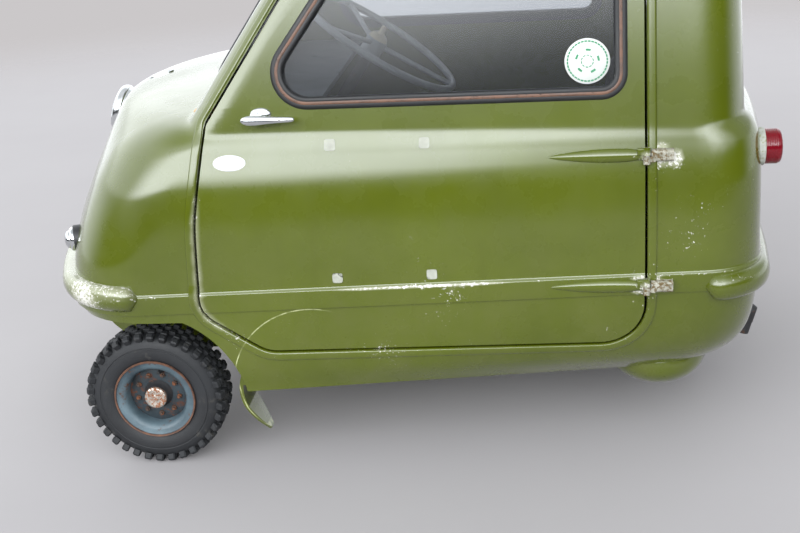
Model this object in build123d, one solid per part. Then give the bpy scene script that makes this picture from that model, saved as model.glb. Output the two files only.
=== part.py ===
from build123d import *
import math
import os

os.makedirs("parts", exist_ok=True)

# Three wheeled one-seat car with a moulded plastic body, in millimetres.
# +X runs forward, +Y to the car's left (the door's side), +Z up, origin on the floor.

# Driving sizes: mouldings
WALL = 12.0               # thickness of the body mouldings
DOOR_THICK = 22.0         # whole door, outer skin to inner trim
DOOR_GAP = 7.0            # open line round the door
JOIN_Z = 328.0            # where the upper moulding sits on the floor tub
BAND_TOP = 362.0          # top of the raised band over the joint
BAND_PROUD = 4.0
BUMPER_LOW, BUMPER_TOP, BUMPER_PROUD = 303.0, 350.0, 11.0
BUMPER_FRONT_END, BUMPER_REAR_END = 368.0, -518.0
ROOF_Z = 1118.0           # where the roof moulding starts
CAB_FOOT_Z, CAB_TOP_Z = 640.0, 1130.0

# Driving sizes: running gear
WHEEL_R, TYRE_W = 133.0, 80.0
RIM_R = 74.0
FRONT_X, FRONT_Y = 455.0, 409.0
REAR_X = -490.0
KINGPIN_Y = 340.0
PIN_R = 8.0               # kingpins and stub axles
ARCH_R = 186.0            # front wheel arch round the wheel's centre
ARCH_TOP = 300.0          # underside of the nose over the front wheels
FOOTWELL_Y = 250.0        # half width of the footwell between the front wheels
WELL_Y = 75.0             # half width of the rear wheel's box
WELL_TOP = 290.0
WELL_FRONT, WELL_REAR = -330.0, -645.0

# Driving sizes: greenhouse
SCREEN_X, SCREEN_RAKE = 349.0, 35.0        # windscreen's foot at CAB_FOOT_Z, degrees from upright
SIDE_Y, SIDE_LEAN = 436.0, 10.0            # side wall at CAB_FOOT_Z, degrees inward
BACK_X, BACK_LEAN = -631.0, 2.0
SEAL_W = 22.0
GLASS = 4.0
SEAL_PROUD = 4.0

# Driving sizes: door opening, seen from the side as X, Z, corner radius
DOOR_EDGE = [
    (-441.0, 243.0, 75.0), (222.0, 243.0, 60.0), (336.0, 318.0, 50.0), (330.0, 480.0, 300.0),
    (302.0, 648.0, 14.0), (-21.0, 1112.0, 45.0), (-441.0, 1112.0, 45.0)]
HINGE_X, HINGE_Z = -444.0, (354.0, 578.0)
HINGE_Y, HINGE_LEAN = 480.0, 5.6           # hinge line at the lower hinge, degrees inward

# Plan outlines of the body, from the sill up. Columns: height, nose x, tail x, half width at the
# nose, half width at the tail, set-back of the nose and tail corners, their radii, share of the
# wall's thickness that lies upright (1 on the bonnet, -1 on the floor).
BODY = [
    (158.0, 540.0, -585.0, 485.0, 338.0, 78.0, 60.0, 200.0, 150.0, -1.0),
    (200.0, 610.0, -635.0, 487.0, 392.0, 78.0, 60.0, 200.0, 150.0, -0.5),
    (250.0, 646.0, -660.0, 487.0, 434.0, 78.0, 60.0, 200.0, 150.0, 0.0),
    (345.0, 676.0, -671.0, 485.0, 466.0, 78.0, 52.0, 200.0, 140.0, 0.0),
    (430.0, 651.0, -671.0, 481.0, 464.0, 78.0, 52.0, 200.0, 130.0, 0.0),
    (530.0, 604.0, -671.0, 466.0, 455.0, 84.0, 52.0, 195.0, 120.0, 0.1),
    (590.0, 572.0, -667.0, 453.0, 446.0, 95.0, 52.0, 190.0, 110.0, 0.3),
    (620.0, 548.0, -652.0, 444.0, 437.0, 115.0, 52.0, 190.0, 100.0, 0.6),
    (645.0, 512.0, -632.0, 428.0, 420.0, 140.0, 48.0, 190.0, 90.0, 0.85),
    (665.0, 448.0, -600.0, 392.0, 385.0, 150.0, 48.0, 190.0, 90.0, 0.97),
    (684.0, 345.0, -540.0, 335.0, 330.0, 130.0, 48.0, 150.0, 80.0, 1.0)]

# Roof crown above the walls. Columns: height, set-in from the wall line, upright share.
ROOF = [(1130.0, 0.0, 0.0), (1158.0, 18.0, 0.5), (1180.0, 58.0, 0.9), (1190.0, 120.0, 1.0)]

tan = lambda deg: math.tan(math.radians(deg))
cos = lambda deg: math.cos(math.radians(deg))
sin = lambda deg: math.sin(math.radians(deg))


def block(x0, x1, y0, y1, z0, z1):
    """A box by its limits."""
    return Pos((x0 + x1) / 2, (y0 + y1) / 2, (z0 + z1) / 2) * Box(x1 - x0, y1 - y0, z1 - z0)


def both_sides(solid):
    return [solid, mirror(solid, about=Plane.XZ)]


def save(name, *solids):
    """Write the solids of one sub-part."""
    flat = []
    for s in solids:
        for piece in (s if isinstance(s, (list, tuple, ShapeList)) else [s]):
            flat += list(piece.solids())
    shape = flat[0] if len(flat) == 1 else Compound(children=flat)
    shape.label = name
    export_step(shape, f"parts/{name}.step")


def plan(z, nose, tail, w_front, w_rear, nose_set, tail_set, r_front, r_rear):
    """Plan outline at one height: bowed nose and tail, straight sides, round corners."""
    a, b = (nose - nose_set, w_front), (nose - nose_set, -w_front)
    c, d = (tail + tail_set, -w_rear), (tail + tail_set, w_rear)
    face = make_face([ThreePointArc(a, (nose, 0), b), Line(b, c),
                      ThreePointArc(c, (tail, 0), d), Line(d, a)])
    face = fillet([v for v in face.vertices() if v.X > nose - nose_set - 1], r_front)
    face = fillet([v for v in face.vertices() if v.X < tail + tail_set + 1], r_rear)
    return Pos(0, 0, z) * face


def body_solid(inset):
    """The closed lower body, set in by a wall thickness."""
    faces = []
    for z, nose, tail, wf, wr, ns, ts, rf, rr, up in BODY:
        flat = inset * math.sqrt(1 - up * up)
        faces.append(plan(z - inset * up, nose - flat, tail + flat, wf - flat, wr - flat,
                          ns, ts, rf, rr))
    return loft(faces)


def cab_plan(z, inset=0.0):
    """Plan outline of the greenhouse at one height."""
    rise = z - CAB_FOOT_Z
    front = SCREEN_X - rise * tan(SCREEN_RAKE) - inset / cos(SCREEN_RAKE)
    back = BACK_X + rise * tan(BACK_LEAN) + inset / cos(BACK_LEAN)
    side = SIDE_Y - rise * tan(SIDE_LEAN) - inset / cos(SIDE_LEAN)
    a, b, c, d = (front, side), (front, -side), (back + 14, -side), (back + 14, side)
    face = make_face([Line(a, b), Line(b, c), ThreePointArc(c, (back, 0), d), Line(d, a)])
    face = fillet([v for v in face.vertices() if v.X > front - 1], 58.0 - inset / 2)
    face = fillet([v for v in face.vertices() if v.X < back + 15], 88.0 - inset / 2)
    return Pos(0, 0, z) * face


def cab_solid(inset):
    return loft([cab_plan(CAB_FOOT_Z - 70, inset), cab_plan(CAB_TOP_Z, inset)], ruled=True)


def roof_solid(inset):
    """The crowned roof over the walls; its front keeps to the windscreen's slope."""
    base = cab_plan(CAB_TOP_Z)
    box = base.bounding_box()
    faces = []
    for z, set_in, up in ROOF:
        flat = inset * math.sqrt(1 - up * up) + set_in
        front = box.max.X - flat - (z - CAB_TOP_Z) * tan(SCREEN_RAKE)
        back = box.min.X + flat
        kx = (front - back) / (box.max.X - box.min.X)
        ky = 1 - 2 * flat / (box.max.Y - box.min.Y)
        face = scale(Pos(-(box.max.X + box.min.X) / 2, 0, -CAB_TOP_Z) * base, by=(kx, ky, 1))
        faces.append(Pos((front + back) / 2, 0, z - inset * up) * face)
    return loft(faces)


def side_prism(points, grow=0.0, y0=150.0, y1=600.0):
    """A side outline with round corners, run out sideways."""
    face = make_face(Polyline([(x, z) for x, z, r in points], close=True))
    for x, z, r in points:
        near = min(face.vertices(), key=lambda v: (v.X - x) ** 2 + (v.Y - z) ** 2)
        face = fillet([near], r)
    if grow:
        face = offset(face, grow)
    face = Plane.XZ * face
    solid = extrude(face, amount=y1 - y0, dir=(0, 1, 0))
    return Pos(0, y0, 0) * solid


# Body as closed solids: outside with its raised band, and the hollow
outer = body_solid(0.0)
band_row = [r for r in BODY if r[0] == 345.0][0]
band = extrude(plan(JOIN_Z, band_row[1] + BAND_PROUD, band_row[2] - BAND_PROUD,
                    band_row[3] + BAND_PROUD, band_row[4] + BAND_PROUD, *band_row[5:9]),
               amount=BAND_TOP - JOIN_Z, dir=(0, 0, 1))
outer = outer + band
cab_out = cab_solid(0.0)
cab_in = cab_solid(WALL)


def arch(grow):
    """Room for a front wheel on each side, grown by a wall thickness."""
    y0 = FOOTWELL_Y + WALL - grow
    round_part = Pos(FRONT_X, (y0 + 650) / 2, WHEEL_R) * Rot(90, 0, 0) * Cylinder(ARCH_R + grow, 650 - y0)
    round_part = round_part & block(0, 900, 0, 900, -200, ARCH_TOP + grow)
    ahead = block(FRONT_X - 60, 900, y0, 650, -200, ARCH_TOP + grow)
    under = block(FRONT_X - ARCH_R - grow, FRONT_X, y0, 650, -200, WHEEL_R)
    return round_part + ahead + under


arch_cut = Part() + both_sides(arch(0.0))
arch_liner = Part() + both_sides(arch(WALL))
well_cut = block(WELL_REAR, WELL_FRONT, -WELL_Y, WELL_Y, 0, WELL_TOP)
well_liner = block(WELL_REAR - WALL, WELL_FRONT + WALL, -WELL_Y - WALL, WELL_Y + WALL, 0, WELL_TOP + WALL)

hollow = body_solid(WALL) - arch_liner - well_liner
door_cut = side_prism(DOOR_EDGE, DOOR_GAP)
shell = outer - hollow - cab_in - arch_cut - well_cut
shell = shell - door_cut
cab_shell = cab_out - cab_in - outer - door_cut

# Zones where the real mouldings meet
X_NOSE, X_TAIL = 205.0, -462.0
upper = block(-900, 900, -700, 700, JOIN_Z, 760)
nose = shell & upper & block(X_NOSE, 900, -700, 700, 0, 900)
right_side = shell & upper & block(X_TAIL, X_NOSE, -700, 0, 0, 900)
tail = shell & upper & (block(-900, X_TAIL, -700, 700, 0, 900) + block(X_TAIL, X_NOSE, 0, 700, 0, 900))
floor_tub = shell & block(-900, 900, -700, 700, 0, JOIN_Z)

# Bulge of the tub round the rear wheel
FAIRING_Y = 322.0
FAIRING_LOW = 104.0


def fairing(inset):
    """Closed bulge with round ends, hollowed by its own smaller copy."""
    pts = [(-372.0 - inset, 158.0), (-425.0, 122.0 + inset), (-490.0, FAIRING_LOW + inset),
           (-550.0, 124.0 + inset), (-586.0 + inset, 158.0)]
    face = make_face([ThreePointArc(pts[0], pts[1], pts[2]), ThreePointArc(pts[2], pts[3], pts[4]),
                      Line(pts[4], pts[0])])
    half = FAIRING_Y - inset
    across = Pos(0, -half, 0) * extrude(Plane.XZ * face, amount=2 * half, dir=(0, 1, 0))
    end_r = 60.0 - inset
    ends = make_face(Polyline([(-half, 158), (-half, 158 - 2), (-half + end_r, FAIRING_LOW + inset - 6),
                               (half - end_r, FAIRING_LOW + inset - 6), (half, 156), (half, 158)],
                              close=True))
    return across & extrude(Plane.YZ.offset(-700) * ends, amount=500)


fairing_shell = fairing(0.0) - fairing(WALL) - well_cut

# Bumpers moulded round both ends
bumper_ring = extrude(plan(BUMPER_LOW, band_row[1] + 18.0, band_row[2] - 16.0,
                           band_row[3] + BUMPER_PROUD, band_row[4] + BUMPER_PROUD, *band_row[5:9]),
                      amount=BUMPER_TOP - BUMPER_LOW, dir=(0, 0, 1))
bumper_ring = fillet(bumper_ring.edges().filter_by(Plane.XY), 15.0)
bumper_ring = bumper_ring - outer
front_bumper = bumper_ring & block(BUMPER_FRONT_END, 900, -700, 700, 0, 900)
rear_bumper = bumper_ring & block(-900, BUMPER_REAR_END, -700, 700, 0, 900)

# Greenhouse: planes of the walls with their window outlines
SCREEN = Plane(origin=(SCREEN_X, 0, CAB_FOOT_Z), x_dir=(0, 1, 0),
               z_dir=(cos(SCREEN_RAKE), 0, sin(SCREEN_RAKE)))
LEFT = Plane(origin=(0, SIDE_Y, CAB_FOOT_Z), x_dir=(-1, 0, 0),
             z_dir=(0, cos(SIDE_LEAN), sin(SIDE_LEAN)))
BACK = Plane(origin=(BACK_X, 0, CAB_FOOT_Z), x_dir=(0, -1, 0),
             z_dir=(-cos(BACK_LEAN), 0, sin(BACK_LEAN)))

SCREEN_EDGE = [(-352.0, 78.0, 50.0), (352.0, 78.0, 50.0), (286.0, 560.0, 50.0), (-286.0, 560.0, 50.0)]
SIDE_EDGE = [(-245.0, 30.0, 62.0), (414.0, 30.0, 42.0), (414.0, 452.0, 50.0), (66.0, 452.0, 62.0)]
BACK_EDGE = [(-240.0, 150.0, 45.0), (240.0, 150.0, 45.0), (215.0, 400.0, 45.0), (-215.0, 400.0, 45.0)]


def outline(points, inset=0.0):
    face = make_face(Polyline([(x, y) for x, y, r in points], close=True))
    for x, y, r in points:
        near = min(face.vertices(), key=lambda v: (v.X - x) ** 2 + (v.Y - y) ** 2)
        face = fillet([near], r)
    return offset(face, -inset) if inset else face


def window(plane, points, thick, sag=0.0):
    """Hole, rubber seal and glass of one window in a wall of the given thickness."""
    hole = extrude(plane * outline(points), amount=80.0, both=True)
    ring = outline(points) - outline(points, SEAL_W)
    seal = extrude(plane.offset(-thick - sag - 2) * ring, amount=thick + sag + 2 + SEAL_PROUD)
    glass = extrude(plane.offset(-thick / 2 - sag) * outline(points, SEAL_W), amount=GLASS)
    return hole, seal, glass


screen_hole, screen_seal, screen_glass = window(SCREEN, SCREEN_EDGE, WALL)
side_hole, side_seal, side_glass = window(LEFT, SIDE_EDGE, DOOR_THICK)
right_hole, right_seal, right_glass = [mirror(s, about=Plane.XZ)
                                       for s in window(LEFT, SIDE_EDGE, WALL)]
back_hole, back_seal, back_glass = window(BACK, BACK_EDGE, WALL, 6.0)

pillar_x, pillar_z = DOOR_EDGE[4][0] + DOOR_GAP * 0.7, DOOR_EDGE[4][1]
pillar_top = (DOOR_EDGE[5][0] + DOOR_GAP * 0.7, DOOR_EDGE[5][1])
slope = (pillar_top[0] - pillar_x) / (pillar_top[1] - pillar_z)
front_zone_face = make_face(Polyline([
    (pillar_x + slope * (500 - pillar_z), 500), (900, 500), (900, 1300),
    (pillar_x + slope * (1300 - pillar_z), 1300)], close=True))
front_zone = Pos(0, -700, 0) * extrude(Plane.XZ * front_zone_face, amount=1400, dir=(0, 1, 0))
below_roof = block(-900, 900, -700, 700, 0, ROOF_Z)
middle = block(X_TAIL, 900, -700, 700, 0, 1400) - front_zone
screen_surround = (cab_shell & front_zone & below_roof) - screen_hole
right_cab = (cab_shell & middle & below_roof & block(-900, 900, -700, 0, 0, 1400)) - right_hole
left_half = block(X_TAIL, 900, 0, 700, 0, 1400) - front_zone
tail_zone = block(-900, X_TAIL, -700, 700, 0, ROOF_Z) + block(X_TAIL - 1, X_TAIL + 40, 0, 700, 0, 1000)
roof_zone = block(-900, 900, -700, 700, ROOF_Z, 1400) + (left_half & block(-900, 900, 0, 700, 1000, ROOF_Z))
tail_cab = (cab_shell & tail_zone) - back_hole
roof = (cab_shell & roof_zone) + (roof_solid(0.0) - roof_solid(WALL))

# Door: cut from thicker walls with the same outside
door_in = body_solid(DOOR_THICK) + cab_solid(DOOR_THICK)
door_prism = side_prism(DOOR_EDGE)
door_low = (outer & door_prism) - body_solid(DOOR_THICK) - cab_solid(DOOR_THICK)
door_high = (cab_out & door_prism) - cab_solid(DOOR_THICK) - outer - body_solid(DOOR_THICK)
door_panel = (door_low + door_high) - side_hole

save("nose_moulding", nose)
save("right_side_moulding", right_side)
save("tail_moulding", tail)
save("floor_tub", floor_tub)
save("rear_wheel_fairing", fairing_shell)
save("bumper_mouldings", front_bumper, rear_bumper)
save("windscreen_surround", screen_surround)
save("right_cab_side", right_cab)
save("rear_cab_wall", tail_cab)
save("roof_moulding", roof)
save("door_panel", door_panel)
save("door_window_seal", side_seal)
save("door_window_glass", side_glass)
save("window_seals", screen_seal, right_seal, back_seal)
save("window_glass", screen_glass, right_glass, back_glass)

# Lamps and fittings outside, each cut to the body's own surface where it sits
LAMP = dict(x=574.0, z=586.0, tilt=7.0, rim_r=51.0, lens_r=42.0, face=38.0)
SIDE_LAMP = dict(x=612.0, y=330.0, z=414.0, turn=24.0, r=24.0, out=16.0)
TAIL_LAMP = dict(x=-648.0, y=350.0, z=560.0, r=33.0, out=-681.0)


def turned(points, origin, z_dir):
    """A solid of revolution from radius and height points about an axis."""
    face = make_face(Polyline([(r, 0, h) for r, h in points], close=True))
    solid = revolve(face, Axis.Z)
    return Plane(origin=origin, z_dir=z_dir) * solid


lamp_axis = (cos(LAMP["tilt"]), 0, sin(LAMP["tilt"]))
lamp_at = (LAMP["x"], 0, LAMP["z"])
R, L = LAMP["rim_r"], LAMP["lens_r"]
lamp_rim = turned([(L, -40), (R - 3, -40), (R, 4), (R, 14), (R - 2, 24), (L + 2, LAMP["face"]),
                   (L, LAMP["face"])], lamp_at, lamp_axis) - outer
lens = turned([(0, 20), (L, 20), (L, LAMP["face"] - 4), (L * 0.7, LAMP["face"] + 4),
               (L * 0.4, LAMP["face"] + 8), (0, LAMP["face"] + 9)], lamp_at, lamp_axis)
lamp_shell = turned([(0, -30), (L, -30), (L, 20), (0, 20)], lamp_at, lamp_axis) - outer

side_dir = (cos(SIDE_LAMP["turn"]), sin(SIDE_LAMP["turn"]), 0)
side_at = (SIDE_LAMP["x"], SIDE_LAMP["y"], SIDE_LAMP["z"])
r, out = SIDE_LAMP["r"], SIDE_LAMP["out"]
side_lamp = turned([(0, -30), (r, -30), (r, out - 8), (r - 5, out), (r * 0.5, out + 4), (0, out + 5)],
                   side_at, side_dir) - outer

r, long = TAIL_LAMP["r"], TAIL_LAMP["x"] - TAIL_LAMP["out"]
tail_lamp = turned([(0, -40), (r, -40), (r, long - 8), (r - 6, long - 2), (0, long)],
                   (TAIL_LAMP["x"], TAIL_LAMP["y"], TAIL_LAMP["z"]), (-1, 0, 0)) - outer

BADGE_X, BADGE_LONG, BADGE_WIDE, BADGE_T = 505.0, 26.0, 17.0, 3.0
badge = (body_solid(-BADGE_T) & extrude(Plane.XY.offset(600) * Pos(BADGE_X, 0) * Ellipse(BADGE_LONG, BADGE_WIDE),
                                        amount=140)) - outer

# Wiper standing on the scuttle, its blade on the glass
wiper_arm = extrude(SCREEN.offset(SEAL_PROUD + 3) * make_face(Polyline(
    [(-40, 62), (-32, 60), (-96, 330), (-102, 328)], close=True)), amount=4)
wiper_blade = extrude(SCREEN.offset(-WALL / 2 + GLASS) * make_face(Polyline(
    [(-116, 210), (-109, 209), (-85, 455), (-92, 456)], close=True)), amount=6 + WALL / 2 - GLASS + 4)
wiper_foot = extrude(SCREEN.offset(-6) * Pos(-36, 58) * Circle(11), amount=SEAL_PROUD + 15) - outer - cab_out
wiper = (wiper_arm + wiper_blade + wiper_foot)

# Door furniture
hinge_up = (0, -sin(HINGE_LEAN), cos(HINGE_LEAN))


def hinge_point(z):
    return (HINGE_X, HINGE_Y - (z - HINGE_Z[0]) * tan(HINGE_LEAN), z)


HINGE_LONG, HINGE_R, HINGE_PROUD = 146.0, 9.5, 8.0


def hinge_section(x, y, z, half_high, proud):
    """The fairing's section across the car, let 12 mm into the panel and bevelled outside."""
    bevel = proud / 2
    return Plane.YZ.offset(x) * make_face(Polyline(
        [(y - 12, z - half_high), (y + proud - bevel, z - half_high), (y + proud, z - half_high + bevel),
         (y + proud, z + half_high - bevel), (y + proud - bevel, z + half_high), (y - 12, z + half_high)],
        close=True))


door_fairings, body_halves = [], []
for z in HINGE_Z:
    x, y, _ = hinge_point(z)
    surface_y = y - 7.0
    strip = loft([hinge_section(x + 7, surface_y, z, HINGE_R, HINGE_PROUD),
                  hinge_section(x + 7 + HINGE_LONG, surface_y, z, 2.4, 2.0)], ruled=True)
    barrel = Plane(origin=hinge_point(z + 0.3), z_dir=hinge_up) * (
        Pos(0, 0, 7) * (Cylinder(6, 14) - Cylinder(3.05, 14)))
    link = block(x + 4.5, x + 16, surface_y, y + 3, z + 1, z + 13)
    door_fairings.append((strip + barrel + link) - outer)
    stem = block(x - 44, x - 7.5, surface_y - 14, y + 2.5, z - 10, z + 10)
    stem = fillet(stem.edges().filter_by(Axis.X), 5)
    low = Plane(origin=hinge_point(z - 14.0), z_dir=hinge_up) * (Pos(0, 0, 6.9) * Cylinder(6, 13.8))
    pin = Plane(origin=hinge_point(z - 14.0), z_dir=hinge_up) * (Pos(0, 0, 14) * Cylinder(3, 28))
    link = block(x - 14, x - 4, surface_y, y + 3, z - 10, z - 1)
    body_halves.append((stem + low + pin + link) - outer)

HANDLE = dict(x=199.0, v=25.0, lever=(229.0, 136.0), stand=20.0)
boss = extrude(LEFT * Pos(-HANDLE["x"], HANDLE["v"]) * Ellipse(16, 11), amount=7)
stem = extrude(LEFT * Pos(-HANDLE["x"], HANDLE["v"]) * Circle(5.5), amount=HANDLE["stand"])
x0, x1 = [-v for v in HANDLE["lever"]]
lever = extrude(LEFT.offset(HANDLE["stand"] - 3) * Pos((x0 + x1) / 2, HANDLE["v"] - 4) * SlotOverall(x1 - x0, 13),
                amount=8)
door_handle = boss + stem + lever

# Running gear
def round_bar(p0, p1, r):
    """A round bar between two points."""
    v = Vector(*p1) - Vector(*p0)
    return Plane(origin=p0, z_dir=v) * extrude(Circle(r), amount=v.length)


BEAM_R, SEAT_Y = 14.0, 180.0
LUG_T, LUG_OUT = 12.0, 40.0
FLOOR_Z = BODY[0][0]
axle = round_bar((FRONT_X, -KINGPIN_Y + 30, WHEEL_R), (FRONT_X, KINGPIN_Y - 30, WHEEL_R), BEAM_R)
for s in (1, -1):
    y = s * KINGPIN_Y
    axle += block(FRONT_X - 20, FRONT_X + 20, s * SEAT_Y - 18, s * SEAT_Y + 18, WHEEL_R, FLOOR_Z)
    axle += block(FRONT_X - 12, FRONT_X + 12, *sorted((y - s * 38, y - s * 26)),
                  WHEEL_R - LUG_OUT - LUG_T, WHEEL_R + LUG_OUT + LUG_T)
    for low in (WHEEL_R - LUG_OUT - LUG_T, WHEEL_R + LUG_OUT):
        axle += block(FRONT_X - 12, FRONT_X + 12, *sorted((y - s * 38, y)), low, low + LUG_T)
        axle += Pos(FRONT_X, y, low + LUG_T / 2) * Cylinder(13, LUG_T)
    axle += block(FRONT_X - 54, FRONT_X + 54, *sorted((y - s * 32, y - s * 6)),
                  WHEEL_R + LUG_OUT, WHEEL_R + LUG_OUT + LUG_T)
    axle += Pos(FRONT_X, y, WHEEL_R) * Cylinder(PIN_R, 2 * (LUG_OUT + LUG_T))

POST_X, POST_Y, POST_R = 46.0, KINGPIN_Y - 17.0, 6.0
spring_foot = WHEEL_R + LUG_OUT + LUG_T


def spring(x, y, z0, z1, r, wire, turns, core):
    """A damper with its coils, as one solid of turns round a core."""
    solid = Pos(x, y, (z0 + z1) / 2) * Cylinder(core, z1 - z0)
    for i in range(turns):
        z = z0 + wire + (z1 - z0 - 2 * wire) * i / (turns - 1)
        solid += Pos(x, y, z) * Cylinder(r, 1.4 * wire)
    return solid


struts = []
for s in (1, -1):
    struts.append(spring(FRONT_X, s * (KINGPIN_Y - 6), spring_foot, ARCH_TOP, 16.0, 4.0, 5, 9.0))
    for dx in (POST_X, -POST_X):
        struts.append(Pos(FRONT_X + dx, s * POST_Y, (spring_foot + ARCH_TOP) / 2)
                      * Cylinder(POST_R, ARCH_TOP - spring_foot))

HUB_R, HUB_IN, HUB_OUT = 21.0, 32.0, 34.0
RUN = 0.05                # running clearance on shafts
knuckle = Pos(FRONT_X, KINGPIN_Y, WHEEL_R) * Cylinder(14, 2 * LUG_OUT - 0.6)
knuckle += round_bar((FRONT_X, KINGPIN_Y, WHEEL_R), (FRONT_X, FRONT_Y - HUB_IN - 0.4, WHEEL_R), 13.0)
knuckle += round_bar((FRONT_X, KINGPIN_Y, WHEEL_R), (FRONT_X, FRONT_Y + HUB_OUT - 6, WHEEL_R), PIN_R)
knuckle += block(FRONT_X - 62, FRONT_X, KINGPIN_Y - 6, KINGPIN_Y + 6, WHEEL_R - 30, WHEEL_R - 20)
knuckle -= Pos(FRONT_X, KINGPIN_Y, WHEEL_R) * Cylinder(PIN_R + RUN, 2 * LUG_OUT)

# Wheel about its own axle: tyre, pressed rim and hub, outer side towards +Y
half = TYRE_W / 2
LUGS, LUG_TOP_SHARE, LUG_ROOT_R = 20, 0.55, 125.0
CROWN_R, SHOULDER_R, SIDEWALL_R, BEAD_R = 122.0, 108.0, 104.0, RIM_R - 11.5
SHOULDER_LONG, BEAD_SET_IN = 6.0, 9.0


def tread_side(r):
    """Outline of the carcass with two sides for each lug, which keeps its facets few."""
    return RegularPolygon(r, 2 * LUGS)


def frustum(r0, r1, y0, y1):
    """Tapered many-sided disc about Y, from r0 at y0 to r1 at y1."""
    slant = math.degrees(math.atan2((r0 - r1) * cos(90 / LUGS), abs(y1 - y0)))
    turn = Rot(90, 0, 0) if y1 < y0 else Rot(-90, 0, 0)
    return Pos(0, y0, 0) * turn * extrude(tread_side(r0), amount=abs(y1 - y0), taper=slant)


def tyre_solid():
    """Carcass under two bands of lugs, one band half a pitch behind the other."""
    edge_y = half - SHOULDER_LONG
    solid = extrude(Plane.XZ * tread_side(CROWN_R), amount=edge_y, both=True)
    for s in (1, -1):
        solid += frustum(CROWN_R, SHOULDER_R, s * edge_y, s * half)
    for s in (1, -1):
        solid -= frustum(SIDEWALL_R, BEAD_R, s * half, s * (half - BEAD_SET_IN))
    solid -= extrude(Plane.XZ * Circle(RIM_R - 12), amount=half, both=True)
    pitch = 360 / LUGS
    top_r = WHEEL_R / cos(pitch * (1 - LUG_TOP_SHARE) / 2)     # the lowest lug corners touch the floor
    for side, shift in ((1, 0.0), (-1, 0.5)):
        edge = []
        for i in range(LUGS):
            for share, r in ((-0.5, LUG_ROOT_R), (-0.5, top_r), (0.5, top_r), (0.5, LUG_ROOT_R)):
                a = 90 + (i + shift + share * LUG_TOP_SHARE) * pitch
                edge.append((r * cos(a), r * sin(a)))
        band = make_face(Polyline(edge, close=True)) - tread_side(CROWN_R - 4)
        solid += extrude(Plane.XZ * band, amount=edge_y, dir=(0, side, 0))
    return solid


def rim_solid():
    bed_out, bed_in = RIM_R - 12, RIM_R - 18
    face = make_face(Polyline([
        (bed_in, -half + 8), (RIM_R - 2, -half + 3), (RIM_R, -half + 5), (bed_out, -half + 8.5),
        (bed_out, half - 8.5), (RIM_R, half - 5), (RIM_R - 2, half - 3), (bed_in, half - 10),
        (bed_in, 9), (HUB_R, 9), (HUB_R, 4), (bed_in, 4)], close=True))
    return revolve(face, Axis.Y)


def hub_solid(bore_end):
    """Barrel with its cap; the bore stops under the cap, or runs through."""
    solid = round_bar((0, -HUB_IN, 0), (0, HUB_OUT - 4, 0), HUB_R)
    solid += round_bar((0, HUB_OUT - 4, 0), (0, HUB_OUT, 0), HUB_R - 2)
    return solid - round_bar((0, -HUB_IN, 0), (0, bore_end, 0), PIN_R + RUN)


tyre, rim = tyre_solid(), rim_solid()
WHEELS = [("left", FRONT_X, FRONT_Y, False), ("right", FRONT_X, -FRONT_Y, True), ("rear", REAR_X, 0.0, False)]
for name, x, y, flip in WHEELS:
    hub = hub_solid(HUB_OUT if name == "rear" else HUB_OUT - 5)
    for label, solid in (("tyre", tyre), ("rim", rim), ("hub", hub)):
        placed = mirror(solid, about=Plane.XZ) if flip else solid
        save(f"{name}_{label}", Pos(x, y, WHEEL_R) * placed)

# Rear fork in its box, with the axle the rear wheel turns on
FORK_X, FORK_Z, FORK_Y = -346.0, 182.0, 50.0
fork = round_bar((FORK_X, -WELL_Y, FORK_Z), (FORK_X, WELL_Y, FORK_Z), 9.0)
fork += round_bar((REAR_X, -FORK_Y - 8, WHEEL_R), (REAR_X, FORK_Y + 8, WHEEL_R), PIN_R)
SPRING_X = -440.0
for s in (1, -1):
    arm = make_face([Line((FORK_X, FORK_Z + 12), (REAR_X, WHEEL_R + 12)),
                     ThreePointArc((REAR_X, WHEEL_R + 12), (REAR_X - 12, WHEEL_R), (REAR_X, WHEEL_R - 12)),
                     Line((REAR_X, WHEEL_R - 12), (FORK_X, FORK_Z - 12)),
                     ThreePointArc((FORK_X, FORK_Z - 12), (FORK_X + 12, FORK_Z), (FORK_X, FORK_Z + 12))])
    arm = extrude(Plane.XZ * arm, amount=8, dir=(0, 1, 0))
    fork += Pos(0, s * FORK_Y - 4, 0) * arm
    fork += block(SPRING_X - 12, SPRING_X + 12, *sorted((s * (FORK_Y - 4), s * (FORK_Y + 20))), 150, 172)
rear_springs = [spring(SPRING_X, s * (FORK_Y + 8), 172, WELL_TOP, 11.0, 3.0, 5, 6.0) for s in (1, -1)]

# Leaf-shaped flap behind each front wheel
flap_face = make_face([
    ThreePointArc((286, 178), (291, 140), (283, 112)), ThreePointArc((283, 112), (268, 84), (248, 56)),
    Line((248, 56), (243, 60)), ThreePointArc((243, 60), (262, 90), (277, 116)),
    ThreePointArc((277, 116), (284, 142), (279, 178)), Line((279, 178), (286, 178))])
flap = Pos(0, 375, 0) * extrude(Plane.XZ * flap_face, amount=70, dir=(0, 1, 0))
leaf = make_face([ThreePointArc((378, 200), (374, 120), (412, 50)), ThreePointArc((412, 50), (444, 110), (442, 200)),
                  Line((442, 200), (378, 200))])
flap += block(262, 286, 375, 445, FLOOR_Z + 2, 178)
flap = (flap & extrude(Plane.YZ.offset(200) * leaf, amount=120)) - floor_tub

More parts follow.
